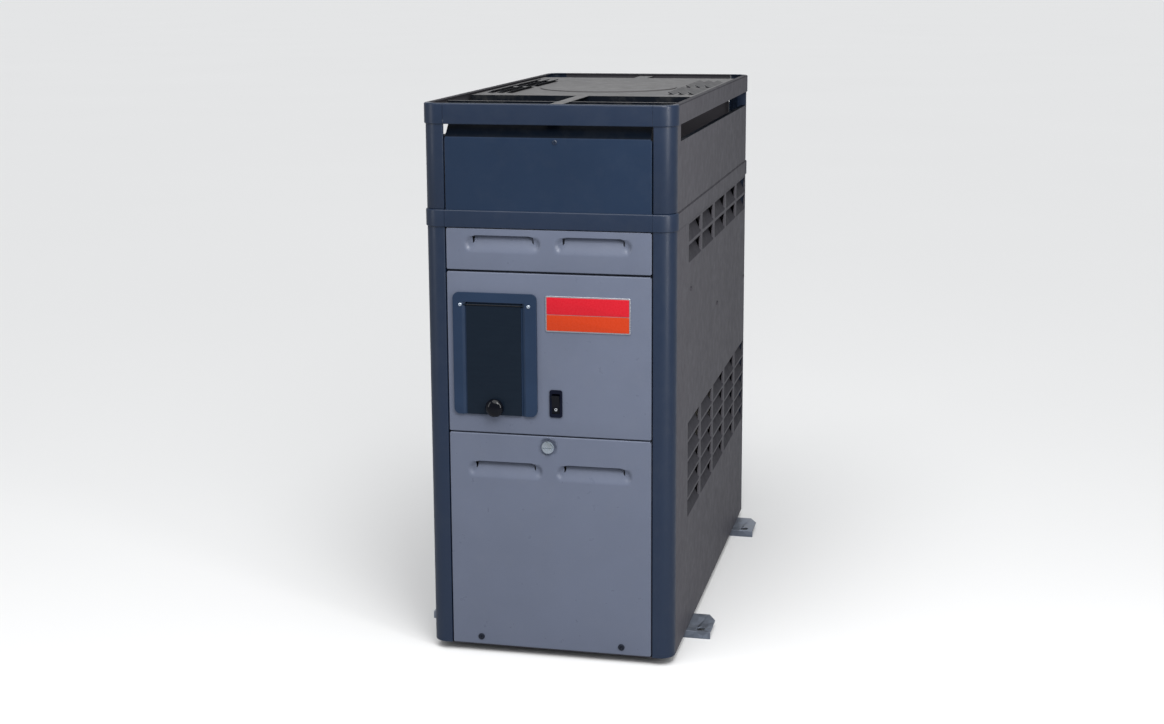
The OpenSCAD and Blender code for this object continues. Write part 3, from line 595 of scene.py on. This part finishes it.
def fillet(points, radii, steps=6):
    """A path through the points with its inner corners rounded."""
    path = [Vector(points[0])]
    for a, p, b, r in zip(points, points[1:], points[2:], radii):
        a, p, b = Vector(a), Vector(p), Vector(b)
        da, db = (a - p).normalized(), (b - p).normalized()
        half = da.angle(db) / 2
        centre = p + (da + db).normalized() * (r / math.sin(half))
        start = p + da * (r / math.tan(half)) - centre
        sweep = math.pi - 2 * half
        if start.cross(p + db * (r / math.tan(half)) - centre) < 0:
            sweep = -sweep
        for k in range(steps + 1):
            path.append(centre + Matrix.Rotation(sweep * k / steps, 2) @ start)
    return path + [Vector(points[-1])]


def strip(path, zs, name, tuck=0.0):
    """An upright strip along a path in plan, facing right of its direction of travel.

    Its lower edge may be tucked in, which leaves a crease where it stands on something.
    """
    bm = bmesh.new()
    levels = [(zs[0], tuck)]
    if tuck:
        levels += [(zs[0] + 0.5 * tuck, 0.4 * tuck), (zs[0] + 1.2 * tuck, 0.0)]
    levels += [(z, 0.0) for z in zs[1:]]
    grid = []
    for k, p in enumerate(path):
        along = (path[min(k + 1, len(path) - 1)] - path[max(k - 1, 0)]).normalized()
        inward = Vector((-along.y, along.x))
        grid.append([bm.verts.new((p.x + inward.x * back, p.y + inward.y * back, z)) for z, back in levels])
    for a, b in zip(grid, grid[1:]):
        for k in range(len(levels) - 1):
            bm.faces.new((a[k], b[k], b[k + 1], a[k + 1]))
    return solid_mesh(bm, FRAME_SHEET, name)


def swept(stations, section, name, thickness=FRAME_SHEET):
    """A rim: a section of (inset, height), swept over stations of (foot point, inward direction)."""
    bm = bmesh.new()
    grid = [[bm.verts.new((foot.x + inward.x * s, foot.y + inward.y * s, z)) for s, z in section]
            for foot, inward in stations]
    for a, b in zip(grid, grid[1:]):
        for k in range(len(section) - 1):
            bm.faces.new((a[k], b[k], b[k + 1], a[k + 1]))
    return solid_mesh(bm, thickness, name)


# ---------- Frame: posts, collar and top ring ----------

CORNER = Vector((PANEL_X, PANEL_FRONT))


def post_path(back=POST_RETURN):
    points = [(-POST_LEG_X, back), (-POST_LEG_X, 0), (0, 0), (0, POST_LEG_Y), (-POST_RETURN, POST_LEG_Y)]
    path = fillet(points, [2 * MM, CORNER_R, 1.2 * MM], 14)
    return [p + CORNER for p in path]


def make_posts():
    lower = strip(post_path(), [POST_Z, COLLAR_Z], "lower_post")
    names = ("front_right_post", "rear_right_post", "front_left_post", "rear_left_post")
    for name, corner in zip(names, CORNERS):
        piece(name + "_shell", [(lower, corner)], "navy_paint", "cabinet", (name,))
    upper = [strip(post_path(back), [COLLAR_TOP, RING_Z], "upper_post", tuck=1.2 * MM)
             for back in (UPPER_RETURN, POST_RETURN)]
    piece("upper_post_shells", [(upper[k % 2], c) for k, c in enumerate(CORNERS)], "navy_paint", "cabinet",
          ("upper_posts",))


def rim_section(z0, z1, top_lip, foot, out=0.0):
    """From the foot's inner edge, up the outer face, to the top lip's inner edge."""
    r = 2.4 * MM
    points = fillet([(foot, z0), (-out, z0), (-out, z1), (top_lip, z1)], [1.4 * MM, r], 6)
    return [(p.x, p.y) for p in points]


def cap_stations():
    """Foot points and inward directions round a corner cap."""
    r = CORNER_R + PROUD
    corner = Vector((HALF_W, FRONT))
    start = [(corner + Vector((-CAP_LEG_X, 0)), Vector((0, 1)))]
    centre = corner + Vector((-r, r))
    turns = [math.pi / 2 * k / 16 for k in range(17)]
    arc = [(centre + r * Vector((math.sin(a), -math.cos(a))), Vector((-math.sin(a), math.cos(a))))
           for a in turns]
    return start + arc + [(corner + Vector((0, CAP_LEG_Y)), Vector((-1, 0)))]


def make_rims():
    seam, cap_out = 0.4 * MM, 0.45 * MM
    half_bar = HALF_W - CAP_LEG_X - seam
    half_side = (REAR - FRONT) / 2 - CAP_LEG_Y - seam
    for name, z0, z1, lip in (("collar", COLLAR_Z, COLLAR_TOP, RING_FOOT), ("top", RING_Z, TOP, RING_LIP)):
        cap = swept(cap_stations(), rim_section(z0, z1, lip, RING_FOOT, cap_out), name + "_cap")
        piece(name + "_cap_shells", [(cap, c) for c in CORNERS], "navy_paint", "cabinet",
              (name + "_corner_caps",))
        section = rim_section(z0, z1, lip, RING_FOOT)
        front_line = [(Vector((x, FRONT)), Vector((0, 1))) for x in (-half_bar, half_bar)]
        side_line = [(Vector((HALF_W, MID_Y + y)), Vector((-1, 0))) for y in (-half_side, half_side)]
        front = swept(front_line, section, name + "_front")
        side = swept(side_line, section, name + "_side")
        piece(name + "_front_shell", [(front, IDENTITY)], "navy_paint", "cabinet", (name + "_front_bar",))
        # Painted sheen: the rear and side bars are the same navy frame as the front bar and caps, painted in
        # the side panels' grey that the navy shows in light at a grazing angle.
        piece(name + "_rear_shell", [(front, CORNERS[1])], "side_paint", "cabinet", (name + "_rear_bar",))
        piece(name + "_side_shells", [(side, IDENTITY), (side, CORNERS[2])], "side_paint", "cabinet",
              (name + "_side_bars",))


# ---------- Panels ----------


class Tongues(Flat):
    """Tongues lanced free along the top and partly down their ends, and pressed inwards."""

    def __init__(self, spots, length, deep, tall, leg, flank, gap, kerf, corner, dimple=None, holes=(),
                 closed=False):
        self.spots, self.length, self.deep, self.tall, self.leg = spots, length, deep, tall, leg
        self.flank, self.gap, self.kerf, self.corner = flank, gap, kerf, corner
        self.fade = 0.9 * leg
        self.dimple, self.holes, self.closed = dimple, holes, closed

    def near(self, u, v):
        """The tongue that shapes the sheet at (u, v), as (how far outside its ends, depth below its top)."""
        for u0, top in self.spots:
            out = max(u0 - u, u - u0 - self.length)
            if out < self.flank + EPS and -EPS < top - v < self.tall:
                return out, top - v, u0
        return None

    def ramp(self, down):
        t = max(0.0, 1 - down / self.tall)
        return self.deep * (0.3 * ease(t) + 0.7 * t)

    def lowered(self, u, v):
        spot = self.near(u, v)
        return spot is not None and spot[0] < 0 and spot[1] > 0

    def on_cut(self, u, v):
        spot = self.near(u, v)
        if spot is None:
            return False
        out, down = spot[:2]
        if self.closed and u < spot[2] + EPS:
            return False
        on_top = abs(down) < EPS and out < EPS
        return on_top or (abs(out) < EPS and down < self.leg - EPS)

    def dish(self, out, down):
        """Depth of the dish round the end of a slit, which joins the tongue to the flat sheet."""
        below = self.tall - self.leg
        along = (down - self.leg) / (below if down > self.leg else self.fade)
        r = math.hypot(out / self.flank, along)
        if r >= 1:
            return 0.0
        straight = self.ramp(self.leg + r * below)
        round_wall = self.ramp(self.leg) * crease(2.0 * (1 - r))
        share = (along / r) ** 4 if along > 0 else 0.0
        return round_wall + (straight - round_wall) * share

    def depth(self, u, v, lowered):
        sunk = 0.0
        spot = self.near(u, v)
        if spot is not None:
            out, down = spot[:2]
            if self.closed and u < spot[2] + self.flank:
                sunk = self.ramp(down) * crease((u - spot[2]) / self.flank) if lowered or down > EPS else 0.0
            elif lowered or (out < EPS and not self.on_cut(u, v)):
                sunk = self.ramp(down)
            else:
                sunk = self.dish(max(out, 0.0), down)
        if self.dimple is not None:
            away = math.hypot(u - self.dimple.x, v - self.dimple.y)
            sunk += DIMPLE_DEEP * ease((DIMPLE_R - away) / DIMPLE_WALL)
        return sunk

    def nudge(self, u, v, lowered):
        if not self.on_cut(u, v):
            return 0.0, 0.0
        out, down, u0 = self.near(u, v)
        inwards = math.copysign(1.0, u0 + self.length / 2 - u)
        on_end, on_top = abs(out) < EPS, abs(down) < EPS
        if not lowered:
            return (inwards * self.corner / 3, -self.corner / 3) if on_end and on_top else (0.0, 0.0)
        side = inwards * (self.kerf + (self.corner if on_top else 0.0)) if on_end else 0.0
        return side, -self.gap if on_top else 0.0

    def missing(self, u, v):
        return any(x0 < u < x1 and z0 < v < z1 for x0, x1, z0, z1 in self.holes)

    def stops(self):
        """Grid positions along and up that the pressed shapes need."""
        us, vs = [], []
        steps = [-self.kerf - self.corner, 0] + [self.flank * k / 6 for k in range(1, 7)]
        for u0, top in self.spots:
            us += [u0 - s for s in steps] + [u0 + self.length + s for s in steps] + [u0 + self.length / 2]
            vs += [top - self.leg - (self.tall - self.leg) * k / 5 for k in range(6)]
            vs += [top, top - self.corner] + [top - self.leg + self.fade * k / 4 for k in range(1, 5)]
            us += [u0 + self.flank * k / 4 for k in range(5) if self.closed]
            us += [u0 - self.flank - MM, u0 + self.length + self.flank + MM]
            vs += [top + MM, top - self.tall - MM]
        if self.dimple is not None:
            us += [self.dimple.x + sign * r for r in DIMPLE_RINGS for sign in (-1, 1)] + [self.dimple.x]
            vs += [self.dimple.y + sign * r for r in DIMPLE_RINGS for sign in (-1, 1)] + [self.dimple.y]
        for x0, x1, z0, z1 in self.holes:
            us += [x0, x1]
            vs += [z0, z1]
        return us, vs


def crease(t):
    """A straight slope from 0 to 1, with its two ends slightly rounded."""
    return 0.75 * min(1.0, max(0.0, t)) + 0.25 * ease(t)


# Gas and conduit holes of the left side, as (along, height, radius)
SERVICE_HOLES = [(-348 * MM, BASE + 175 * MM, 21 * MM), (-300 * MM, BASE + 450 * MM, 11.1 * MM)]
HOLE_STEPS = (-1.5, -1, -0.5, 0, 0.5, 1, 1.5)


class ServiceSide(Tongues):
    """The left side's press, with round holes made of grid cells: the grid's lines bend onto the circle."""

    def missing(self, u, v):
        return any(max(abs(u - hu), abs(v - hv)) < r for hu, hv, r in SERVICE_HOLES)

    def nudge(self, u, v, lowered):
        for hu, hv, r in SERVICE_HOLES:
            du, dv = u - hu, v - hv
            square = max(abs(du), abs(dv))
            if 0 < square < 1.4 * r:
                scale = square / math.hypot(du, dv) - 1
                return du * scale, dv * scale
        return super().nudge(u, v, lowered)

    def stops(self):
        us, vs = super().stops()
        us += [hu + step * r for hu, hv, r in SERVICE_HOLES for step in HOLE_STEPS]
        vs += [hv + step * r for hu, hv, r in SERVICE_HOLES for step in HOLE_STEPS]
        return us, vs


def make_side_panels():
    lo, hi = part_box("right_side_panel")
    half = hi.y - MID_Y
    for side, face, kind in (("right", ON_RIGHT, Tongues), ("left", ON_LEFT, ServiceSide)):
        press = kind(LOUVRES, LOUVRE_L, deep=11 * MM, tall=27.5 * MM, leg=23 * MM, flank=4 * MM, gap=0.6 * MM,
                     kerf=1.5 * MM, corner=1.5 * MM, closed=True)
        us, vs = press.stops()
        lines_v = [(v, 0.0) for v in stops_of(lo.z, *vs, hi.z)]
        mesh = sheet(bent_lines(stops_of(-half, *us, half)), lines_v, press, side + "_sheet")
        piece(side + "_side_shell", [(mesh, face)], "side_paint", "cabinet", (side + "_side_panel",))


def front_panel(node, body, dimple=None, holes=()):
    top = PULL_TOPS.get(node)
    spots = [(-PULL_X - PULL_L, top), (PULL_X, top)] if top else []
    press = Tongues(spots, PULL_L, deep=9 * MM, tall=26 * MM, leg=13 * MM, flank=12 * MM, gap=3.2 * MM,
                    kerf=2.4 * MM, corner=4 * MM, dimple=dimple, holes=holes)
    lo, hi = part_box(node)
    us, vs = press.stops()
    lines_u = bent_lines(stops_of(lo.x, *us, hi.x))
    lines_v = bent_lines(stops_of(lo.z, *vs, hi.z))
    mesh = sheet(lines_u, lines_v, press, node + "_sheet")
    piece(node + "_shell", [(mesh, ON_FRONT)], "front_paint", body, (node,))


def make_front_panels():
    bezel_lo, bezel_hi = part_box("control_bezel")
    rocker_lo, rocker_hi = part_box("rocker_housing")
    clear = 6 * MM
    holes = [(bezel_lo.x + 3 * clear, bezel_hi.x - 3 * clear, bezel_lo.z + clear, bezel_hi.z - clear),
             (rocker_lo.x + MM, rocker_hi.x - MM, rocker_lo.z + 2 * MM, rocker_hi.z - 2 * MM)]
    front_panel("front_top_panel", "front_top_panel")
    front_panel("control_panel", "cabinet", holes=holes)
    front_panel("access_door", "access_door", dimple=LATCH)


class UpperEnd(Flat):
    """The slanted top lip of the upper front panel, its ends cut back."""

    def __init__(self, half, start, slant):
        self.half, self.start, self.slant = half, start, slant

    def nudge(self, u, v, lowered):
        cut = max(0.0, v - self.start) * self.slant
        return (-math.copysign(cut, u), 0.0) if abs(u) > self.half - 1.5 * MM else (0.0, 0.0)


def make_upper_ends():
    lo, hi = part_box("upper_front_panel")
    fold_z = BASE + 785 * MM
    run = 17.5 * MM
    us = bent_lines([-hi.x, 0, hi.x])
    profile = fillet([(fold_z - 20 * MM, 0), (fold_z, 0), (fold_z + run, run)], [5 * MM], 6)
    vs = [(lo.z, 0.0)] + [(p.x, max(0.0, p.y)) for p in profile]
    start = fold_z + MM
    front = sheet(us, vs, UpperEnd(hi.x, start, LIP_CUT / (fold_z + run - start)), "upper_front_sheet")
    rear = sheet(us, vs, Flat(), "upper_rear_sheet")
    piece("upper_front_shell", [(front, ON_FRONT)], "upper_navy_paint_and_shade", "cabinet", ("upper_front_panel",))
    piece("upper_rear_shell", [(rear, ON_REAR)], "side_paint", "cabinet", ("upper_rear_panel",))


# ---------- Fasteners and small pieces ----------


def face_spots(face, spots, out=0.0):
    """Matrices that stand a screw, drawn along +z, on (along, height) spots of a face."""
    return [face @ Matrix.Translation((u * MM, -out, BASE + v * MM)) @ STAND
            @ Matrix.Rotation(0.7 * k, 4, "Z") for k, (u, v) in enumerate(spots)]


def make_screws():
    """Painted-over screws on the painted faces, plated ones at the rear and on the bezel."""
    pan = screw_mesh(3.6 * MM, 2.0 * MM, "pan_head")
    small = screw_mesh(2.5 * MM, 1.3 * MM, "small_head")
    big = screw_mesh(5.0 * MM, 2.2 * MM, "door_head")

    def heads(name, mesh, face, spots, look, body="cabinet", replaced=(), out=0.0):
        piece(name, [(mesh, m) for m in face_spots(face, spots, out)], look, body, replaced)

    heads("rear_screw_heads", pan, ON_REAR, REAR_SCREWS, "zinc", replaced=("panel_screws",))
    heads("front_screw_head", pan, ON_FRONT, FRONT_SCREWS, "navy_paint")
    heads("right_screw_heads", pan, ON_RIGHT, SIDE_SCREWS, "side_paint")
    heads("left_screw_heads", pan, ON_LEFT, SIDE_SCREWS, "side_paint")
    heads("bezel_screw_heads", small, ON_FRONT, BEZEL_SCREWS, "zinc", out=4.5 * MM)
    heads("door_screw_heads", big, ON_FRONT, DOOR_SCREWS, "dark_steel", "access_door", ("door_screws",))


def make_knob():
    """Domed pull knob of the flap."""
    lo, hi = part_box("flap_knob")
    rim, seat = (hi.x - lo.x) / 2, 5.6 * MM
    rise = hi.y - lo.y - seat
    neck = 7 * MM
    profile = [(neck, 0), (neck, 2.4 * MM), (7.6 * MM, 2.9 * MM), (rim - MM, 3.9 * MM),
               (rim - 0.2 * MM, 4.6 * MM)]
    turns = [math.pi / 2 * k / 16 for k in range(17)]
    profile += [(rim * math.cos(a), seat + rise * math.sin(a)) for a in turns]
    sides = 72
    bm = bmesh.new()
    rings = [[bm.verts.new((r * math.cos(2 * math.pi * k / sides), r * math.sin(2 * math.pi * k / sides), h))
              for k in range(sides)] for r, h in profile[:-1]]
    tip = bm.verts.new((0, 0, profile[-1][1]))
    for a, b in zip(rings, rings[1:]):
        for k in range(sides):
            bm.faces.new((a[k], a[(k + 1) % sides], b[(k + 1) % sides], b[k]))
    for k in range(sides):
        bm.faces.new((rings[-1][k], rings[-1][(k + 1) % sides], tip))
    bm.faces.new(rings[0][::-1])
    place = Matrix.Translation(((lo.x + hi.x) / 2, hi.y, (lo.z + hi.z) / 2)) @ STAND
    piece("flap_knob_dome", [(mesh_from(bm, "knob"), place)], "black_gloss", "control_flap", ("flap_knob",),
          angle=40)


def make_flap_bead():
    """Rolled bead along the flap's top edge."""
    lo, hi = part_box("control_flap")
    r, inset = 1.1 * MM, 3 * MM
    top = BASE + HINGE_Z * MM
    proud, flap_out = 1.5 * MM, 3.9 * MM
    face = FRONT + proud - flap_out
    turns = [math.pi * (k / 10 - 0.5) for k in range(11)]
    section = [(-r * math.cos(a), top + r * math.sin(a)) for a in turns]
    line = [(Vector((x, face + 0.2 * MM)), Vector((0, 1))) for x in (lo.x + 2 * inset, hi.x - 2 * inset)]
    bead = swept(line, section, "bead", 0.4 * MM)
    piece("flap_bead", [(bead, IDENTITY)], "black_gloss", "control_flap")


def rounded_plate(lo, hi, depth, radius, soften, name):
    """A plate in the x-z plane with rounded corners and a softened front edge, standing out to -y."""
    centre = Vector(((lo.x + hi.x) / 2, (lo.z + hi.z) / 2))
    half = Vector(((hi.x - lo.x) / 2, (hi.z - lo.z) / 2))
    profile = [(0.0, 0.0), (0.0, depth - soften)]
    profile += [(soften * (1 - math.cos(a)), depth - soften + soften * math.sin(a))
                for a in (math.pi / 8, math.pi / 4, 3 * math.pi / 8, math.pi / 2)]
    bm = bmesh.new()
    rings = []
    for inset, out in profile:
        ring = []
        for sx, sz, first in ((1, 1, 0), (-1, 1, 90), (-1, -1, 180), (1, -1, 270)):
            for k in range(7):
                a = math.radians(first + 15 * k)
                r = max(radius - inset, 0.05 * MM)
                ring.append(bm.verts.new((centre.x + sx * (half.x - inset - r) + r * math.cos(a), hi.y - out,
                                          centre.y + sz * (half.y - inset - r) + r * math.sin(a))))
        rings.append(ring)
    count = len(rings[0])
    for a, b in zip(rings, rings[1:]):
        for k in range(count):
            bm.faces.new((a[k], a[(k + 1) % count], b[(k + 1) % count], b[k]))
    bm.faces.new(rings[-1])
    bm.faces.new(rings[0][::-1])
    bmesh.ops.recalc_face_normals(bm, faces=bm.faces)
    return mesh_from(bm, name)


def make_badge():
    """Plain two-tone plate with a raised silver border."""
    lo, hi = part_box("badge_plate")
    border = 2.0 * MM
    split = lo.z + 26 * MM
    thick = hi.y - lo.y
    plate = rounded_plate(lo, hi, thick, 2.5 * MM, 0.6 * MM, "badge_plate_mesh")
    piece("badge_border", [(plate, IDENTITY)], "badge_silver", "cabinet", ("badge_plate",))
    for name, z0, z1, look in (("badge_lower", lo.z + border, split - 0.3 * MM, "badge_orange"),
                               ("badge_upper", split + 0.3 * MM, hi.z - border, "badge_enamel")):
        field = rounded_plate(Vector((lo.x + border, 0, z0)), Vector((hi.x - border, lo.y, z1)), 0.5 * MM,
                              1.0 * MM, 0.35 * MM, name)
        piece(name, [(field, IDENTITY)], look, "cabinet", ())


def make_switch_mark():
    """Round inlaid mark on the lower half of the rocker, following its tilt."""
    lo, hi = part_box("rocker_paddle")
    bpy.ops.mesh.primitive_torus_add(major_radius=1.7 * MM, minor_radius=0.42 * MM, major_segments=32,
                                     minor_segments=8)
    ring = bpy.context.object
    mesh = ring.data.copy()
    bpy.data.objects.remove(ring)
    before = Vector(((lo.x + hi.x) / 2, lo.y - 0.05, BASE + 380.6 * MM))
    hit = frame["nodes"]["rocker_paddle"].ray_cast(before, Vector((0, 1, 0)))
    facing = hit[2].to_track_quat("Z", "Y").to_matrix().to_4x4()
    piece("rocker_mark", [(mesh, Matrix.Translation(hit[1]) @ facing)], "white_mark", "rocker_paddle", ())


# ---------- CAD nodes that stay, with softened edges ----------


def soften(name, width):
    """Rounds a CAD node's edges for the light, by modifiers only."""
    node = frame["nodes"][name]
    weld = node.modifiers.new("weld", "WELD")
    weld.merge_threshold = 0.01 * MM
    bevel = node.modifiers.new("soft_edges", "BEVEL")
    bevel.width = width
    bevel.segments = 2
    bevel.limit_method = "ANGLE"
    bevel.angle_limit = math.radians(38)
    bevel.use_clamp_overlap = True
    node.modifiers.new("normals", "WEIGHTED_NORMAL").keep_sharp = True


# Widths in mm
SOFT_EDGES = {
    "base_rail_front": 0.7, "base_rail_rear": 0.7, "base_pan": 0.4, "top_grille": 0.35,
    "flue_cover_disc": 0.5, "upper_left_panel": 0.5, "upper_right_panel": 0.5, "rear_panel": 0.6,
    "control_bezel": 0.9, "control_flap": 0.6, "display_module": 0.6, "display_lens": 0.4,
    "mode_button": 1.2, "up_button": 1.2, "down_button": 1.2, "rocker_housing": 0.7,
    "rocker_paddle": 0.8, "latch_screw": 0.5, "control_bracket": 0.3, "ignition_module": 1.2,
    "transformer": 1.0, "burner_tray": 0.3, "gas_valve": 2.0, "gas_valve_knob": 1.0,
    "gas_inlet_nipple": 0.6, "pilot_burner": 0.3, "return_header": 2.5, "inlet_outlet_header": 2.5,
    "flue_collector": 0.5, "water_tailpieces": 0.8, "inlet_union_nut": 1.2, "outlet_union_nut": 1.2,
    "gas_manifold": 0.5,
}

# ---------- Stage and light ----------

# What the camera sees, and what the floor and the room give to all other rays
PALE, PALEST = (0.84, 0.84, 0.84, 1), (0.86, 0.86, 0.86, 1)
FLOOR_BACK, ROOM_COLOUR, ROOM = (0.38, 0.39, 0.41, 1), (0.94, 0.97, 1.0, 1), 0.30


def make_floor():
    """A pale floor, which sends less light back up than the camera sees."""
    size = 200.0
    bm = bmesh.new()
    corners = [bm.verts.new((x * size, y * size, 0)) for x, y in ((-1, -1), (1, -1), (1, 1), (-1, 1))]
    bm.faces.new(corners)
    floor = bpy.data.objects.new("floor", mesh_from(bm, "floor"))
    bpy.context.scene.collection.objects.link(floor)
    n = Nodes("floor")
    pale = n.mix(n.noise(0.6, 2), PALE, PALEST)
    seen = n.add("ShaderNodeLightPath").outputs["Is Camera Ray"]
    n.link(n.mix(seen, FLOOR_BACK, pale), n.shader.inputs["Base Color"])
    n.set(Roughness=1.0, Specular_IOR_Level=0.0)
    floor.data.materials.append(n.material)


def add_light(name, kind, place, target, power, **values):
    data = bpy.data.lights.new(name, kind)
    data.energy = power
    for key, value in values.items():
        setattr(data, key, value)
    light = bpy.data.objects.new(name, data)
    bpy.context.scene.collection.objects.link(light)
    light.location = place
    light.rotation_euler = (Vector(target) - Vector(place)).to_track_quat("-Z", "Y").to_euler()
    return light


def make_world():
    """A dim room that the camera sees as pale as the floor."""
    world = bpy.data.worlds.new("studio")
    bpy.context.scene.world = world
    world.use_nodes = True
    tree = world.node_tree
    room = tree.nodes["Background"]
    room.inputs["Color"].default_value = ROOM_COLOUR
    room.inputs["Strength"].default_value = ROOM
    pale = tree.nodes.new("ShaderNodeBackground")
    pale.inputs["Color"].default_value = PALE
    seen = tree.nodes.new("ShaderNodeMixShader")
    tree.links.new(tree.nodes.new("ShaderNodeLightPath").outputs["Is Camera Ray"], seen.inputs[0])
    tree.links.new(room.outputs[0], seen.inputs[1])
    tree.links.new(pale.outputs[0], seen.inputs[2])
    tree.links.new(seen.outputs[0], tree.nodes["World Output"].inputs[0])


def make_lights():
    """A broad light overhead, tall softboxes at both sides of the front, and a weak one behind."""
    make_world()
    middle = (0, 0, 0.5)
    add_light("overhead", "SUN", (0.1, -1.1, 3.0), middle, 2.1, angle=math.radians(60))
    for name, x, power in (("softbox_right", 1.25, 9.0), ("softbox_left", -1.4, 3.6)):
        box = add_light(name, "AREA", (x, -1.3, 0.95), (0, -0.4, 0.75), power, shape="RECTANGLE", size=0.3,
                        size_y=1.2)
        box.visible_camera = False
    key = add_light("key", "AREA", (0.6, -1.45, 1.55), (0.05, -0.43, 0.65), 11, shape="DISK", size=0.7)
    key.visible_camera = False
    add_light("behind", "SUN", (-1.0, 3.0, 1.2), middle, 0.25, angle=math.radians(50))
    bpy.context.scene.view_settings.view_transform = "Standard"


# ---------- Building it ----------

make_posts()
make_rims()
make_side_panels()
make_front_panels()
make_upper_ends()
make_screws()
make_knob()
make_flap_bead()
make_badge()
make_switch_mark()
for node_name, node in frame["nodes"].items():
    if not node.hide_render:
        paint(node, NODE_LOOKS.get(node_name, SLOT_OF[node_name]))
for node_name, width in SOFT_EDGES.items():
    soften(node_name, width * MM)
make_floor()
make_lights()
